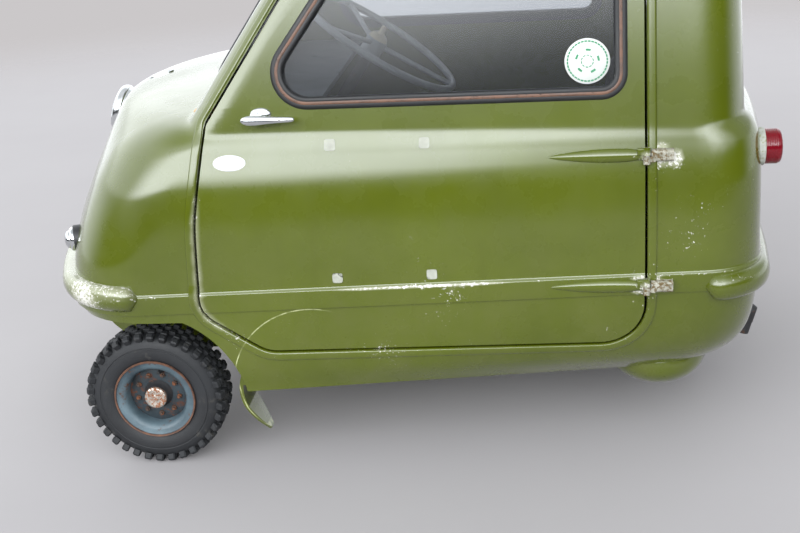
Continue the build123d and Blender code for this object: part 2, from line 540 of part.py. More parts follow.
# Tail pipe bent down behind the tub
PIPE_Y, PIPE_R = 190.0, 15.0
PIPE_END, PIPE_END_R, PIPE_END_LONG = Vector(-652, PIPE_Y, 146), 14.0, 24.0
bend = Vector(-664, PIPE_Y, 190)
neck = PIPE_END + (bend - PIPE_END).normalized() * PIPE_END_LONG
pipe_path = Polyline([(-560, PIPE_Y, 212), (-640, PIPE_Y, 212), bend, neck])
pipe = sweep(Plane(origin=(-560, PIPE_Y, 212), z_dir=(-1, 0, 0)) * Circle(PIPE_R), path=pipe_path,
             transition=Transition.RIGHT)
pipe += round_bar(PIPE_END, neck, PIPE_END_R)
pipe = pipe - round_bar(PIPE_END, neck, PIPE_END_R - 2.5) - outer

# Cabin: shelf, wheel and column, pedals, seat, engine under its cover
clear_in = body_solid(WALL + 0.3)
SHELF_Z, SHELF_T = 634.0, 10.0
shelf = block(135, 352, -440, 392, SHELF_Z, SHELF_Z + SHELF_T) & clear_in
shelf += block(340, 352, -360, 360, SHELF_Z - 40, SHELF_Z)
STEER_AT, STEER_RAKE, STEER_R = (50.0, 0.0, 711.0), 34.5, 176.0
steer_dir = (-sin(STEER_RAKE), 0, cos(STEER_RAKE))
steer_plane = Plane(origin=STEER_AT, x_dir=(0, 1, 0), z_dir=steer_dir)
HUB_H = 34.0
rim_ring = revolve(Plane.XZ * Pos(STEER_R, 0) * RegularPolygon(7.0, 10), Axis.Z)
wheel_local = rim_ring + Pos(0, 0, -HUB_H / 2) * Cylinder(22, HUB_H)
for a in (90, 210, 330):
    wheel_local += Rot(0, 0, a) * round_bar((15, 0, -10), (STEER_R, 0, 0), 5.0)
steering_wheel = steer_plane * wheel_local
foot = (STEER_AT[2] - (FLOOR_Z + WALL)) / cos(STEER_RAKE)
floor_box = block(-700, 700, -400, 400, 0, FLOOR_Z + WALL)
column = (steer_plane * (Pos(0, 0, -HUB_H - 0.3) * extrude(Circle(12), amount=-foot))) - floor_box
column += block(140, 352, -14, 14, SHELF_Z - 66, SHELF_Z - 40) - block(0, 900, -700, 700, SHELF_Z - 40, 900)
pedals = []
for y in (-110.0, 70.0, 140.0):
    leg = round_bar((480, y, FLOOR_Z + WALL), (440, y, 262), 6.0) - floor_box
    pedals.append(leg + Pos(438, y, 268) * Rot(0, -70, 0) * Box(64, 48, 8))

seat_base = block(-318, -40, -180, 180, FLOOR_Z + WALL, 300) - block(-308, -50, -170, 170, 0, 290)
cushion = fillet(block(-430, -30, -190, 190, 302 + 0.3, 362).edges().filter_by(Axis.Z), 40)
cushion = fillet(cushion.faces().sort_by(Axis.Z)[-1].edges(), 16)
back = Pos(-408, 0, 0) * Rot(0, -8, 0) * block(-28, 28, -190, 190, 0, 310)
back = Pos(0, 0, 340) * back - block(-700, 0, -300, 300, 300, 362.3)
seat_base += block(-318, -40, -180, 180, 300, 302.0)
ENGINE = (-540.0, -325.0, -330.0, -96.0, 298.0)   # x, x, y, y, top
engine = block(*ENGINE[:4], FLOOR_Z + WALL, ENGINE[4]) & body_solid(WALL + 0.3)

# Handle at the back for lifting the car round
GRAB_Z, GRAB_Y, GRAB_OUT = 470.0, 70.0, 20.0
grab_path = Polyline([(-660, -GRAB_Y, GRAB_Z), (-671 - GRAB_OUT, -GRAB_Y + 14, GRAB_Z),
                      (-671 - GRAB_OUT, GRAB_Y - 14, GRAB_Z), (-660, GRAB_Y, GRAB_Z)])
grab = sweep(Plane(origin=(-660, -GRAB_Y, GRAB_Z), z_dir=grab_path @ 0.01 - grab_path @ 0) * Circle(6),
             path=grab_path, transition=Transition.ROUND) - outer

save("headlamp_rim", lamp_rim)
save("headlamp_lens", lens + lamp_shell)
save("side_lamps", both_sides(side_lamp))
save("tail_lamps", both_sides(tail_lamp))
save("nose_badge", badge)
save("wiper", wiper)
save("door_hinges", door_fairings)
save("body_hinges", body_halves)
save("door_handle", door_handle)
save("front_axle", axle)
save("front_springs", struts)
save("left_knuckle", knuckle)
save("right_knuckle", mirror(knuckle, about=Plane.XZ))
save("rear_fork", fork)
save("rear_springs", rear_springs)
save("mud_flaps", both_sides(flap))
save("tail_pipe", pipe)
save("lifting_handle", grab)
save("dash_shelf", shelf)
save("steering_wheel", steering_wheel)
save("steering_column", column)
save("pedals", pedals)
save("seat_base", seat_base)
save("seat_cushion", cushion)
save("seat_back", back)
save("engine_block", engine)
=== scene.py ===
"""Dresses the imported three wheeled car: a moulded skin, glazing, lamps, wheels, cabin and finishes.

Lengths are in millimetres until a vertex is placed. +X is forward, +Y the door side, +Z up.
"""
import math

import bmesh
import bpy
from mathutils import Matrix, Vector
from mathutils.bvhtree import BVHTree


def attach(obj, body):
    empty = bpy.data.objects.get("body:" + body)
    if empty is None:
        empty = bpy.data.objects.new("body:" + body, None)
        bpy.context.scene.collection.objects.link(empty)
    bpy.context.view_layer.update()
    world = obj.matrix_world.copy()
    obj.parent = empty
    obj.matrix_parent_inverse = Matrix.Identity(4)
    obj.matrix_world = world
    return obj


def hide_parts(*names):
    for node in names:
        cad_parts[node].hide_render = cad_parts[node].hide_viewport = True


bl_info = {
    "name": "Three wheeled car",
    "version": (1, 0, 0),
    "blender": (4, 5, 0),
    "location": "View3D > Sidebar > Three wheeled car",
    "description": "Builds the body, glazing, lamps, wheels and cabin of a one-seat three wheeled car",
    "category": "Add Mesh",
}

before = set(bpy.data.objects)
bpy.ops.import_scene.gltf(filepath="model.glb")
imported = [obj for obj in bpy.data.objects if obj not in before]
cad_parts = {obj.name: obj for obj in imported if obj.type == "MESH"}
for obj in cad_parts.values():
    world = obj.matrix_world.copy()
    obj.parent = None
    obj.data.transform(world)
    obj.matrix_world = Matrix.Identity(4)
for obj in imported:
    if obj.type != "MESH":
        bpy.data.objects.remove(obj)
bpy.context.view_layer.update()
MM = 0.001

# Plan outlines of the body. Columns: height, nose x, tail x, half width at the nose, half width at
# the tail, set-back of nose and tail corners, their radii, share of a wall that lies upright.
BODY_ROWS = [
    (158, 540, -598, 486, 360, 127, 46, 165, 120, -1),
    (200, 606, -644, 486, 420, 127, 44, 165, 120, -0.5),
    (250, 642, -664, 484, 450, 123, 42, 165, 115, 0),
    (345, 672, -671, 481, 466, 114, 38, 165, 105, 0),
    (430, 652, -671, 478, 465, 116, 38, 170, 100, 0),
    (530, 607, -670, 468, 456, 113, 38, 175, 95, 0.1),
    (560, 593, -668, 461, 451.5, 121, 38, 177, 93.5, 0.2),
    (590, 579, -666, 452, 445, 131, 38, 180, 92, 0.3),
    (620, 566, -652, 441, 436, 167, 40, 185, 90, 0.6),
    (640, 552, -626, 420, 421, 203, 42, 185, 88, 0.8),
    (656, 506, -592, 365, 395, 207, 44, 165, 88, 0.95),
    (668, 446, -545, 280, 345, 175, 46, 120, 80, 1),
    (676, 372, -470, 180, 230, 120, 46, 80, 70, 1)]

# Crown of the roof above the walls. Columns: height, set-in from the walls, upright share.
ROOF_ROWS = [
    (1130, 0, 0), (1145, 5, 0.3), (1158, 16, 0.5), (1170, 34, 0.7), (1180, 62, 0.9),
    (1186, 98, 1), (1189, 150, 1), (1190.3, 205, 1), (1190.8, 258, 1)]

CAB_FOOT, CAB_TOP = 640.0, 1130.0
SCREEN_X, SCREEN_RAKE = 349.0, math.radians(35.0)
SIDE_Y, SIDE_LEAN = 436.0, math.radians(10.0)
BACK_X, BACK_LEAN = -624.0, math.radians(2.0)
WALL, DOOR_THICK = 12.0, 22.0
DOOR_CUT, DOOR_GROWN = 4.8, 0.6            # the body's opening and the door, both beyond DOOR_EDGE
DOOR_REACH = 150.0, 600.0                  # sideways, for the door's prisms
BAND_TOP, BAND_PROUD = 362.0, 4.0
BAND_RISE, BAND_LEVEL_X = 0.024, -57.0     # the band climbs to the rear about this place
BUMPER_Z = 347.0
SEAL_W = 22.0
RING_X = -60.0                             # middle of the body's rings
CAB_FRONT_R, CAB_BACK_R, BACK_BOW = 58.0, 88.0, 14.0
ARCH_R, ARCH_TOP, ARCH_Y = 186.0, 300.0, 262.0        # front wheel's opening: radius, top, inner side
WELL = -645.0, -330.0, -75.0, 75.0, -10.0, 290.0      # limits of the rear wheel's box
FRONT_X, FRONT_Y, REAR_X, WHEEL_R = 455.0, 409.0, -490.0, 133.0

# Outlines as x or u, height or v, corner radius
DOOR_EDGE = [
    (-441, 243, 75), (222, 243, 60), (336, 318, 50), (330, 480, 300),
    (302, 648, 14), (-21, 1112, 45), (-441, 1112, 45)]
SCREEN_EDGE = [(-352, 78, 50), (352, 78, 50), (286, 560, 50), (-286, 560, 50)]
SIDE_EDGE = [(-245, 30, 62), (414, 30, 42), (414, 452, 50), (66, 452, 62)]
BACK_EDGE = [(-240, 150, 45), (240, 150, 45), (215, 400, 45), (-215, 400, 45)]

HINGE_X, HINGE_Z, HINGE_Y, HINGE_LEAN = -444.0, (354.0, 578.0), 480.0, math.radians(5.6)

RAYS = 160      # rays over half a turn of each ring


# Outlines

def rounded(points, inset=0.0, step=math.radians(7.0)):
    """A convex outline, anticlockwise, moved inward and with its corners rounded."""
    n, out = len(points), []
    for k in range(n):
        (ax, ay, _), (bx, by, r), (cx, cy, _) = points[k - 1], points[k], points[(k + 1) % n]
        d1 = Vector((bx - ax, by - ay)).normalized()
        d2 = Vector((cx - bx, cy - by)).normalized()
        turn = d1.angle_signed(d2) * -1
        n1, n2 = Vector((-d1.y, d1.x)), Vector((-d2.y, d2.x))
        centre = Vector((bx, by)) + (n1 + n2) * (r / (1 + n1.dot(n2)))
        reach = max(r - inset, 0.5)
        centre = centre if r > inset else Vector((bx, by)) + (n1 + n2) * ((inset + 0.5) / (1 + n1.dot(n2)))
        start = math.atan2(-n1.y, -n1.x)
        count = max(2, int(abs(turn) / step) + 1)
        for i in range(count + 1):
            a = start + turn * i / count
            out.append((centre.x + reach * math.cos(a), centre.y + reach * math.sin(a)))
    return out


def resampled(points, gap, closed=True):
    """The same line with its points about evenly spaced."""
    ring = list(points) + ([points[0]] if closed else [])
    lengths = [0.0]
    for p, q in zip(ring, ring[1:]):
        lengths.append(lengths[-1] + math.dist(p, q))
    count = max(4, round(lengths[-1] / gap))
    out, k = [], 0
    for i in range(count if closed else count + 1):
        want = lengths[-1] * i / count
        while k < len(lengths) - 2 and lengths[k + 1] < want:
            k += 1
        span = lengths[k + 1] - lengths[k] or 1.0
        t = (want - lengths[k]) / span
        out.append(tuple(a + (b - a) * t for a, b in zip(ring[k], ring[k + 1])))
    return out


def arc(cx, cy, r, a0, a1, count):
    return [(cx + r * math.cos(a0 + (a1 - a0) * i / count), cy + r * math.sin(a0 + (a1 - a0) * i / count))
            for i in range(count + 1)]


def corner_fillet(at, along, inward, centre_x, big_r, r):
    """Centre of the arc that joins a straight side to the bowed nose or tail."""
    w = Vector(at) + inward * r - Vector((centre_x, 0))
    b = w.dot(along)
    s = -b - math.sqrt(max(b * b - w.length_squared + (big_r - r) ** 2, 0.0))
    return Vector(at) + inward * r + along * s


def half_plan(nose, tail, w_front, w_rear, nose_set, tail_set, r_front, r_rear):
    """Left half of a plan outline, from the middle of the nose to the middle of the tail."""
    rn = (w_front ** 2 + nose_set ** 2) / (2 * nose_set)
    rt = (w_rear ** 2 + tail_set ** 2) / (2 * tail_set)
    p, q = Vector((nose - nose_set, w_front)), Vector((tail + tail_set, w_rear))
    d = (q - p).normalized()
    inward = Vector((-d.y, d.x))
    f = corner_fillet(p, d, inward, nose - rn, rn, r_front)
    g = corner_fillet(q, -d, inward, tail + rt, rt, r_rear)
    a1 = math.atan2(f.y, f.x - (nose - rn))
    a2 = math.atan2(-inward.y, -inward.x)
    a3 = math.atan2(g.y, g.x - (tail + rt))
    return (arc(nose - rn, 0, rn, 0, a1, 12) + arc(f.x, f.y, r_front, a1, a2, 40)
            + arc(g.x, g.y, r_rear, a2, a3, 34) + arc(tail + rt, 0, rt, a3, math.pi, 12))


def half_cab(z, inset=0.0):
    """Left half of the greenhouse's outline."""
    rise = z - CAB_FOOT
    front = SCREEN_X - rise * math.tan(SCREEN_RAKE) - inset / math.cos(SCREEN_RAKE)
    back = BACK_X + rise * math.tan(BACK_LEAN) + inset / math.cos(BACK_LEAN)
    side = SIDE_Y - rise * math.tan(SIDE_LEAN) - inset / math.cos(SIDE_LEAN)
    r, r_back = CAB_FRONT_R - inset / 2, CAB_BACK_R - inset / 2
    big = (side ** 2 + BACK_BOW ** 2) / (2 * BACK_BOW)
    g = corner_fillet((back + BACK_BOW, side), Vector((1, 0)), Vector((0, -1)), back + big, big, r_back)
    a3 = math.atan2(g.y, g.x - (back + big))
    return ([(front, 0.0)] + arc(front - r, side - r, r, 0, math.pi / 2, 24)
            + arc(g.x, g.y, r_back, math.pi / 2, a3, 30) + arc(back + big, 0, big, a3, math.pi, 10))


def polar(points, cx):
    """Radius of a half outline along each ray from (cx, 0)."""
    out, k = [], 0
    angles = [math.atan2(y, x - cx) for x, y in points]
    for i in range(RAYS + 1):
        a = math.pi * i / RAYS
        while k < len(points) - 2 and angles[k + 1] < a:
            k += 1
        (x0, y0), (x1, y1) = points[k], points[k + 1]
        ca, sa = math.cos(a), math.sin(a)
        den = (x1 - x0) * sa - (y1 - y0) * ca
        num = (x1 - cx) * (y0 - y1) + y1 * (x1 - x0)
        out.append(abs(num / den) if abs(den) > 1e-9 else math.hypot(x0 - cx, y0))
    return out


# The skin as rings

def hermite(rows, at, k, u):
    """Smooth values between rows k and k + 1 of a table whose rows stand at the given stations."""
    h = at[k + 1] - at[k]
    out = []
    for c in range(len(rows[0])):
        p0, p1 = rows[k][c], rows[k + 1][c]
        slope = (p1 - p0) / h
        m0 = (p1 - rows[k - 1][c]) / (at[k + 1] - at[k - 1]) if k else slope
        m1 = (rows[k + 2][c] - p0) / (at[k + 2] - at[k]) if k + 2 < len(rows) else slope
        out.append((2 * u ** 3 - 3 * u * u + 1) * p0 + (u ** 3 - 2 * u * u + u) * h * m0
                   + (3 * u * u - 2 * u ** 3) * p1 + (u ** 3 - u * u) * h * m1)
    return out


STATIONS = [0.0]
for below, above in zip(BODY_ROWS, BODY_ROWS[1:]):
    STATIONS.append(STATIONS[-1] + math.hypot(above[0] - below[0], above[1] - below[1]))


def body_row(t):
    """The body's plan values at a station, from the sill to under the windscreen."""
    k = max(i for i in range(len(STATIONS) - 1) if STATIONS[i] <= max(t, 0.0))
    return hermite(BODY_ROWS, STATIONS, k, (t - STATIONS[k]) / (STATIONS[k + 1] - STATIONS[k]))


def station_at(z):
    low, high = 0.0, STATIONS[-1]
    for _ in range(40):
        mid = (low + high) / 2
        low, high = (mid, high) if body_row(mid)[0] < z else (low, mid)
    return (low + high) / 2


def soft_max(a, b, k):
    h = max(k - abs(a - b), 0.0) / k
    return max(a, b) + h * h * k / 4


def ramp(x, a, b):
    t = min(max((x - a) / (b - a), 0.0), 1.0)
    return t * t * (3 - 2 * t)


def centre_x(z):
    return RING_X - 244.0 * ramp(z, 690.0, 1110.0)


def ring_levels(fine):
    """Stations of the body's rings, closer together where the surface turns."""
    zs = [158 + 3 * i for i in range(4)] + [172, 184] + [196 + fine * i for i in range(int(126 / fine))]
    if fine < 14:
        zs += [323, 326, 327.6, 328.4, 331, 338, 346, 353, 358, 361, 362.5, 364, 366.5, 370]
    zs += [378 + fine * i for i in range(int(215 / fine))]
    stations = [station_at(z) for z in sorted(set(zs)) if z < 592]
    t, step = station_at(592.0), fine * 0.55
    while t < STATIONS[-1] - step / 2:
        stations.append(t)
        t += step
    return stations + [STATIONS[-1]]


def skin_rings(inset=0.0, fine=12.0):
    """Rings of the whole skin as (height, centre x, radii): body, greenhouse and crowned roof."""
    rings = []
    for t in ring_levels(fine):
        z, nose, tail, wf, wr, ns, ts, rf, rr, up = body_row(t)
        up = max(-1.0, min(1.0, up))
        flat = inset * math.sqrt(1 - up * up)
        z_ring = z - inset * up
        if rings and z_ring <= rings[-1][0] + 0.2:
            continue
        body = polar(half_plan(nose - flat, tail + flat, wf - flat, wr - flat, ns, ts, rf, rr), RING_X)
        if z_ring > 540:
            cab = polar(half_cab(z_ring, inset), RING_X)
            body = [soft_max(b, c, 5.0 + 5.0 * max(0.0, math.cos(math.pi * i / RAYS)))
                    for i, (b, c) in enumerate(zip(body, cab))]
        if not inset:
            proud = BAND_PROUD * ramp(z_ring, 327.2, 328.6) * (1 - ramp(z_ring, BAND_TOP - 1, BAND_TOP + 4))
            body = [b + proud for b in body]
        rings.append((z_ring, RING_X, body))
    z = 700.0
    while z < CAB_TOP - 5:
        if z > rings[-1][0] + 2:
            rings.append((z, centre_x(z), polar(half_cab(z, inset), centre_x(z))))
        z += fine * 1.8
    base = half_cab(CAB_TOP)
    x1, x0, y1 = base[0][0], base[-1][0], max(y for _, y in base)
    for z, set_in, up in ROOF_ROWS:
        flat = inset * math.sqrt(1 - up * up) + set_in
        front, back = x1 - flat - (z - CAB_TOP) * math.tan(SCREEN_RAKE), x0 + flat
        kx, ky = (front - back) / (x1 - x0), 1 - flat / y1
        half = [((front + back) / 2 + (x - (x0 + x1) / 2) * kx, y * ky) for x, y in base]
        cx = centre_x(z) if set_in < 60 else (front + back) / 2
        rings.append((z - inset * up, cx, polar(half, cx)))
    return rings


SKIN = skin_rings()


def skin_y(x, z):
    """How far out the skin's left side is at a place seen from the side."""
    hi = next((i for i in range(1, len(SKIN)) if SKIN[i][0] >= z), len(SKIN) - 1)
    found = []
    for h, cx, radii in (SKIN[hi - 1], SKIN[hi]):
        pts = [(cx + r * math.cos(math.pi * i / RAYS), r * math.sin(math.pi * i / RAYS))
               for i, r in enumerate(radii)]
        y = 0.0
        for (xa, ya), (xb, yb) in zip(pts, pts[1:]):
            if xb <= x <= xa:
                y = ya + (yb - ya) * (x - xa) / ((xb - xa) or 1.0)
                break
        found.append((h, y))
    (h0, y0), (h1, y1) = found
    return y0 + (y1 - y0) * min(max((z - h0) / ((h1 - h0) or 1.0), 0.0), 1.0)


def skin_normal(x, z):
    d = 4.0
    gx = (skin_y(x + d, z) - skin_y(x - d, z)) / (2 * d)
    gz = (skin_y(x, z + d) - skin_y(x, z - d)) / (2 * d)
    return Vector((-gx, 1.0, -gz)).normalized()


def on_skin(points):
    """Side-view points set on the left skin, with the skin's normals."""
    return [Vector((x, skin_y(x, z), z)) for x, z in points], [skin_normal(x, z) for x, z in points]


class Wall:
    """A flat wall with its own axes: u along, v up the wall, w outward."""

    def __init__(self, origin, u, w):
        self.o, self.u, self.w = Vector(origin), Vector(u), Vector(w)
        self.v = self.w.cross(self.u)

    def at(self, u, v, w=0.0):
        return self.o + self.u * u + self.v * v + self.w * w

    def prism(self, outline, low, high):
        return prism(outline, lambda u, v: self.at(u, v, low), lambda u, v: self.at(u, v, high))


SCREEN = Wall((SCREEN_X, 0, CAB_FOOT), (0, 1, 0), (math.cos(SCREEN_RAKE), 0, math.sin(SCREEN_RAKE)))
LEFT = Wall((0, SIDE_Y, CAB_FOOT), (-1, 0, 0), (0, math.cos(SIDE_LEAN), math.sin(SIDE_LEAN)))
RIGHT = Wall((0, -SIDE_Y, CAB_FOOT), (1, 0, 0), (0, -math.cos(SIDE_LEAN), math.sin(SIDE_LEAN)))
BACK = Wall((BACK_X, 0, CAB_FOOT), (0, -1, 0), (-math.cos(BACK_LEAN), 0, math.sin(BACK_LEAN)))
RIGHT_EDGE = [(-x, y, r) for x, y, r in reversed(SIDE_EDGE)]
WINDOWS = {"screen": (SCREEN, SCREEN_EDGE, WALL), "right": (RIGHT, RIGHT_EDGE, WALL),
           "back": (BACK, BACK_EDGE, WALL), "door": (LEFT, SIDE_EDGE, DOOR_THICK)}


# Mesh helpers

def grid_surface(bm, nu, nv, place, closed_u=False, closed_v=False):
    """A grid of nu by nv cells whose corners go where place(i, j) says, welded where it closes."""
    made = bmesh.ops.create_grid(bm, x_segments=nu, y_segments=nv, size=1.0)["verts"]
    for v in made:
        i, j = round((v.co.x + 1) / 2 * nu), round((v.co.y + 1) / 2 * nv)
        v.co = Vector(place(i % nu if closed_u else i, j % nv if closed_v else j))
    bmesh.ops.remove_doubles(bm, verts=made, dist=1e-4)


def outward(bm):
    bmesh.ops.recalc_face_normals(bm, faces=bm.faces[:])


def close_ends(bm):
    """Fills the open rings of a tube and turns its faces outward."""
    edges = [e for e in bm.edges if e.is_boundary]
    if edges:
        bmesh.ops.holes_fill(bm, edges=edges, sides=0)
    outward(bm)


def swept(bm, path, normals, profile, closed=True, sizes=None):
    """A profile of (across, out) points carried along a path; across lies in the surface."""
    n = len(path)

    def place(i, j):
        before = path[(j - 1) % n if closed else max(j - 1, 0)]
        after = path[(j + 1) % n if closed else min(j + 1, n - 1)]
        along = (after - before).normalized()
        out = (normals[j] - along * normals[j].dot(along)).normalized()
        a, b = profile[i % len(profile)]
        size = sizes[j] if sizes else 1.0
        return path[j] + along.cross(out) * a * size + out * b * size

    grid_surface(bm, len(profile), n if closed else n - 1, place, True, closed)


def spun(bm, points, steps=48, axis=(0, 0, 1), at=(0, 0, 0), closed=False):
    """A body turned from (radius, height) points round an axis."""
    turn = Vector((0, 0, 1)).rotation_difference(Vector(axis)).to_matrix()
    loop = points + ([points[0]] if closed else [])
    verts = [bm.verts.new((r, 0, h)) for r, h in loop[:-1]]
    verts.append(verts[0] if closed else bm.verts.new((loop[-1][0], 0, loop[-1][1])))
    edges = [bm.edges.new(pair) for pair in zip(verts, verts[1:])]
    bmesh.ops.spin(bm, geom=list(dict.fromkeys(verts)) + edges, cent=(0, 0, 0), axis=(0, 0, 1),
                   dvec=(0, 0, 0), angle=math.tau, steps=steps, use_merge=True, use_duplicate=False)
    group = connected(verts[0])
    for v in group:
        v.co = turn @ v.co + Vector(at)
    bmesh.ops.remove_doubles(bm, verts=list(group), dist=1e-3)


def connected(start):
    """All vertices joined to start by edges."""
    seen, todo = {start}, [start]
    while todo:
        for e in todo.pop().link_edges:
            for v in e.verts:
                if v not in seen:
                    seen.add(v)
                    todo.append(v)
    return seen


def prism(outline, near, far):
    """A closed prism between the places that near and far give to each outline point."""
    bm = bmesh.new()
    grid_surface(bm, len(outline), 1, lambda i, j: (far if j else near)(*outline[i]), True)
    close_ends(bm)
    return bm


def side_prism(outline, y0, y1):
    return prism(outline, lambda x, z: (x, y0, z), lambda x, z: (x, y1, z))


def round_off(bm, edges, offset, segments):
    bmesh.ops.bevel(bm, geom=list(edges), offset=offset, offset_type="OFFSET", segments=segments,
                    profile=0.5, affect="EDGES", material=-1, clamp_overlap=True)


def box_of(bm, x0, x1, y0, y1, z0, z1, bevel=0.0, segments=2):
    """A bevelled block by its limits."""
    scale = Matrix.Diagonal((x1 - x0, y1 - y0, z1 - z0, 1.0))
    move = Matrix.Translation(((x0 + x1) / 2, (y0 + y1) / 2, (z0 + z1) / 2))
    verts = bmesh.ops.create_cube(bm, size=1.0, matrix=move @ scale)["verts"]
    if bevel:
        round_off(bm, {e for v in verts for e in v.link_edges}, bevel, segments)


def object_of(name, bm):
    """A mesh object from a bmesh in millimetres."""
    bmesh.ops.scale(bm, vec=(MM, MM, MM), verts=bm.verts[:])
    mesh = bpy.data.meshes.new(name)
    bm.to_mesh(mesh)
    bm.free()
    obj = bpy.data.objects.new(name, mesh)
    bpy.context.scene.collection.objects.link(obj)
    return obj


def combined(obj, cutters, operation="DIFFERENCE"):
    """Cuts other closed meshes from obj, or joins them, and removes them."""
    group = bpy.data.collections.new("cutters")
    for c in cutters:
        group.objects.link(c)
    mod = obj.modifiers.new("cut", "BOOLEAN")
    mod.solver, mod.operation, mod.operand_type, mod.collection = "EXACT", operation, "COLLECTION", group
    settled(obj)
    for c in cutters:
        bpy.data.objects.remove(c)
    bpy.data.collections.remove(group)


def settled(obj):
    """Applies obj's modifiers to its mesh."""
    bpy.context.view_layer.update()
    mesh = bpy.data.meshes.new_from_object(obj.evaluated_get(bpy.context.evaluated_depsgraph_get()))
    old = obj.data
    obj.modifiers.clear()
    obj.data = mesh
    mesh.name = old.name
    bpy.data.meshes.remove(old)


def finished(obj, body, finish, replaces=(), angle=50.0):
    """Shading, material, slot and body of a finished piece."""
    mesh = obj.data
    mesh.materials.clear()
    mesh.materials.append(MATERIALS[finish])
    mesh.shade_smooth()
    mesh.set_sharp_from_angle(angle=math.radians(angle))
    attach(obj, body)
    if replaces:
        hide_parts(*replaces)


def piece(name, bm, body, finish, replaces=(), angle=50.0):
    finished(object_of(name, bm), body, finish, replaces, angle)


def turned(name, shapes, finish, replaces=(), body="body", angle=50.0, fill=False, both=False):
    """A piece of turned shapes, each given as spun takes it; both adds the one across the car."""
    bm = bmesh.new()
    for shape in shapes:
        spun(bm, *shape)
    (close_ends if fill else outward)(bm)
    if both:
        mirrored(bm)
    piece(name, bm, body, finish, replaces, angle)


def mirrored(bm):
    """Adds the copy across the car's middle."""
    geom = bm.verts[:] + bm.edges[:] + bm.faces[:]
    made = bmesh.ops.duplicate(bm, geom=geom)["geom"]
    for v in made:
        if isinstance(v, bmesh.types.BMVert):
            v.co.y = -v.co.y
    bmesh.ops.reverse_faces(bm, faces=[f for f in made if isinstance(f, bmesh.types.BMFace)])


# Materials

class Nodes:
    """Short way to lay nodes in one tree."""

    def __init__(self, tree):
        self.tree = tree

    def add(self, kind, inputs=(), **props):
        node = self.tree.nodes.new(kind)
        for key, value in props.items():
            setattr(node, key, value)
        for key, value in dict(inputs).items():
            self.feed(value, node.inputs[key])
        return node

    def feed(self, value, socket):
        if isinstance(value, bpy.types.NodeSocket):
            self.tree.links.new(value, socket)
        elif isinstance(value, bpy.types.Node):
            self.tree.links.new(value.outputs[0], socket)
        else:
            socket.default_value = value

    def math(self, operation, *values, clamp=False):
        """One Math node; further values are taken in one after the other."""
        out = values[0]
        for value in values[1:] or (0.0,):
            node = self.add("ShaderNodeMath", {0: out, 1: value}, operation=operation, use_clamp=clamp)
            out = node.outputs[0]
        return out

    def plus(self, *values):
        return self.math("ADD", *values)

    def minus(self, *values):
        return self.math("SUBTRACT", *values)

    def times(self, *values, clamp=False):
        return self.math("MULTIPLY", *values, clamp=clamp)

    def smooth(self, value, low, high, to_low=0.0, to_high=1.0):
        """Value eased between two limits."""
        inputs = {"Value": value, "From Min": low, "From Max": high, "To Min": to_low, "To Max": to_high}
        return self.add("ShaderNodeMapRange", inputs, interpolation_type="SMOOTHSTEP").outputs[0]

    def mix(self, factor, a, b):
        return self.add("ShaderNodeMix", {0: factor, 6: a, 7: b}, data_type="RGBA").outputs[2]

    def noise(self, where, scale, detail=4.0, rough=0.55):
        inputs = {"Vector": where, "Scale": scale, "Detail": detail, "Roughness": rough}
        return self.add("ShaderNodeTexNoise", inputs).outputs["Fac"]

    def place(self):
        """Object coordinates."""
        return self.add("ShaderNodeTexCoord").outputs["Object"]


def rgb(hexed):
    """Linear colour of a screen colour such as 6b7a12."""
    out = []
    for i in (0, 2, 4):
        c = int(hexed[i:i + 2], 16) / 255
        out.append(c / 12.92 if c <= 0.04045 else ((c + 0.055) / 1.055) ** 2.4)
    return (*out, 1.0)


def new_group(name, inputs, outputs):
    """A shader node group with named sockets: inputs as (name, kind, default), outputs as (name, kind)."""
    tree = bpy.data.node_groups.new(name, "ShaderNodeTree")
    for label, kind, default in inputs:
        tree.interface.new_socket(name=label, in_out="INPUT", socket_type=kind).default_value = default
    for label, kind in outputs:
        tree.interface.new_socket(name=label, in_out="OUTPUT", socket_type=kind)
    nodes = Nodes(tree)
    return nodes, nodes.add("NodeGroupInput"), nodes.add("NodeGroupOutput")


FLOAT, COLOUR = "NodeSocketFloat", "NodeSocketColor"


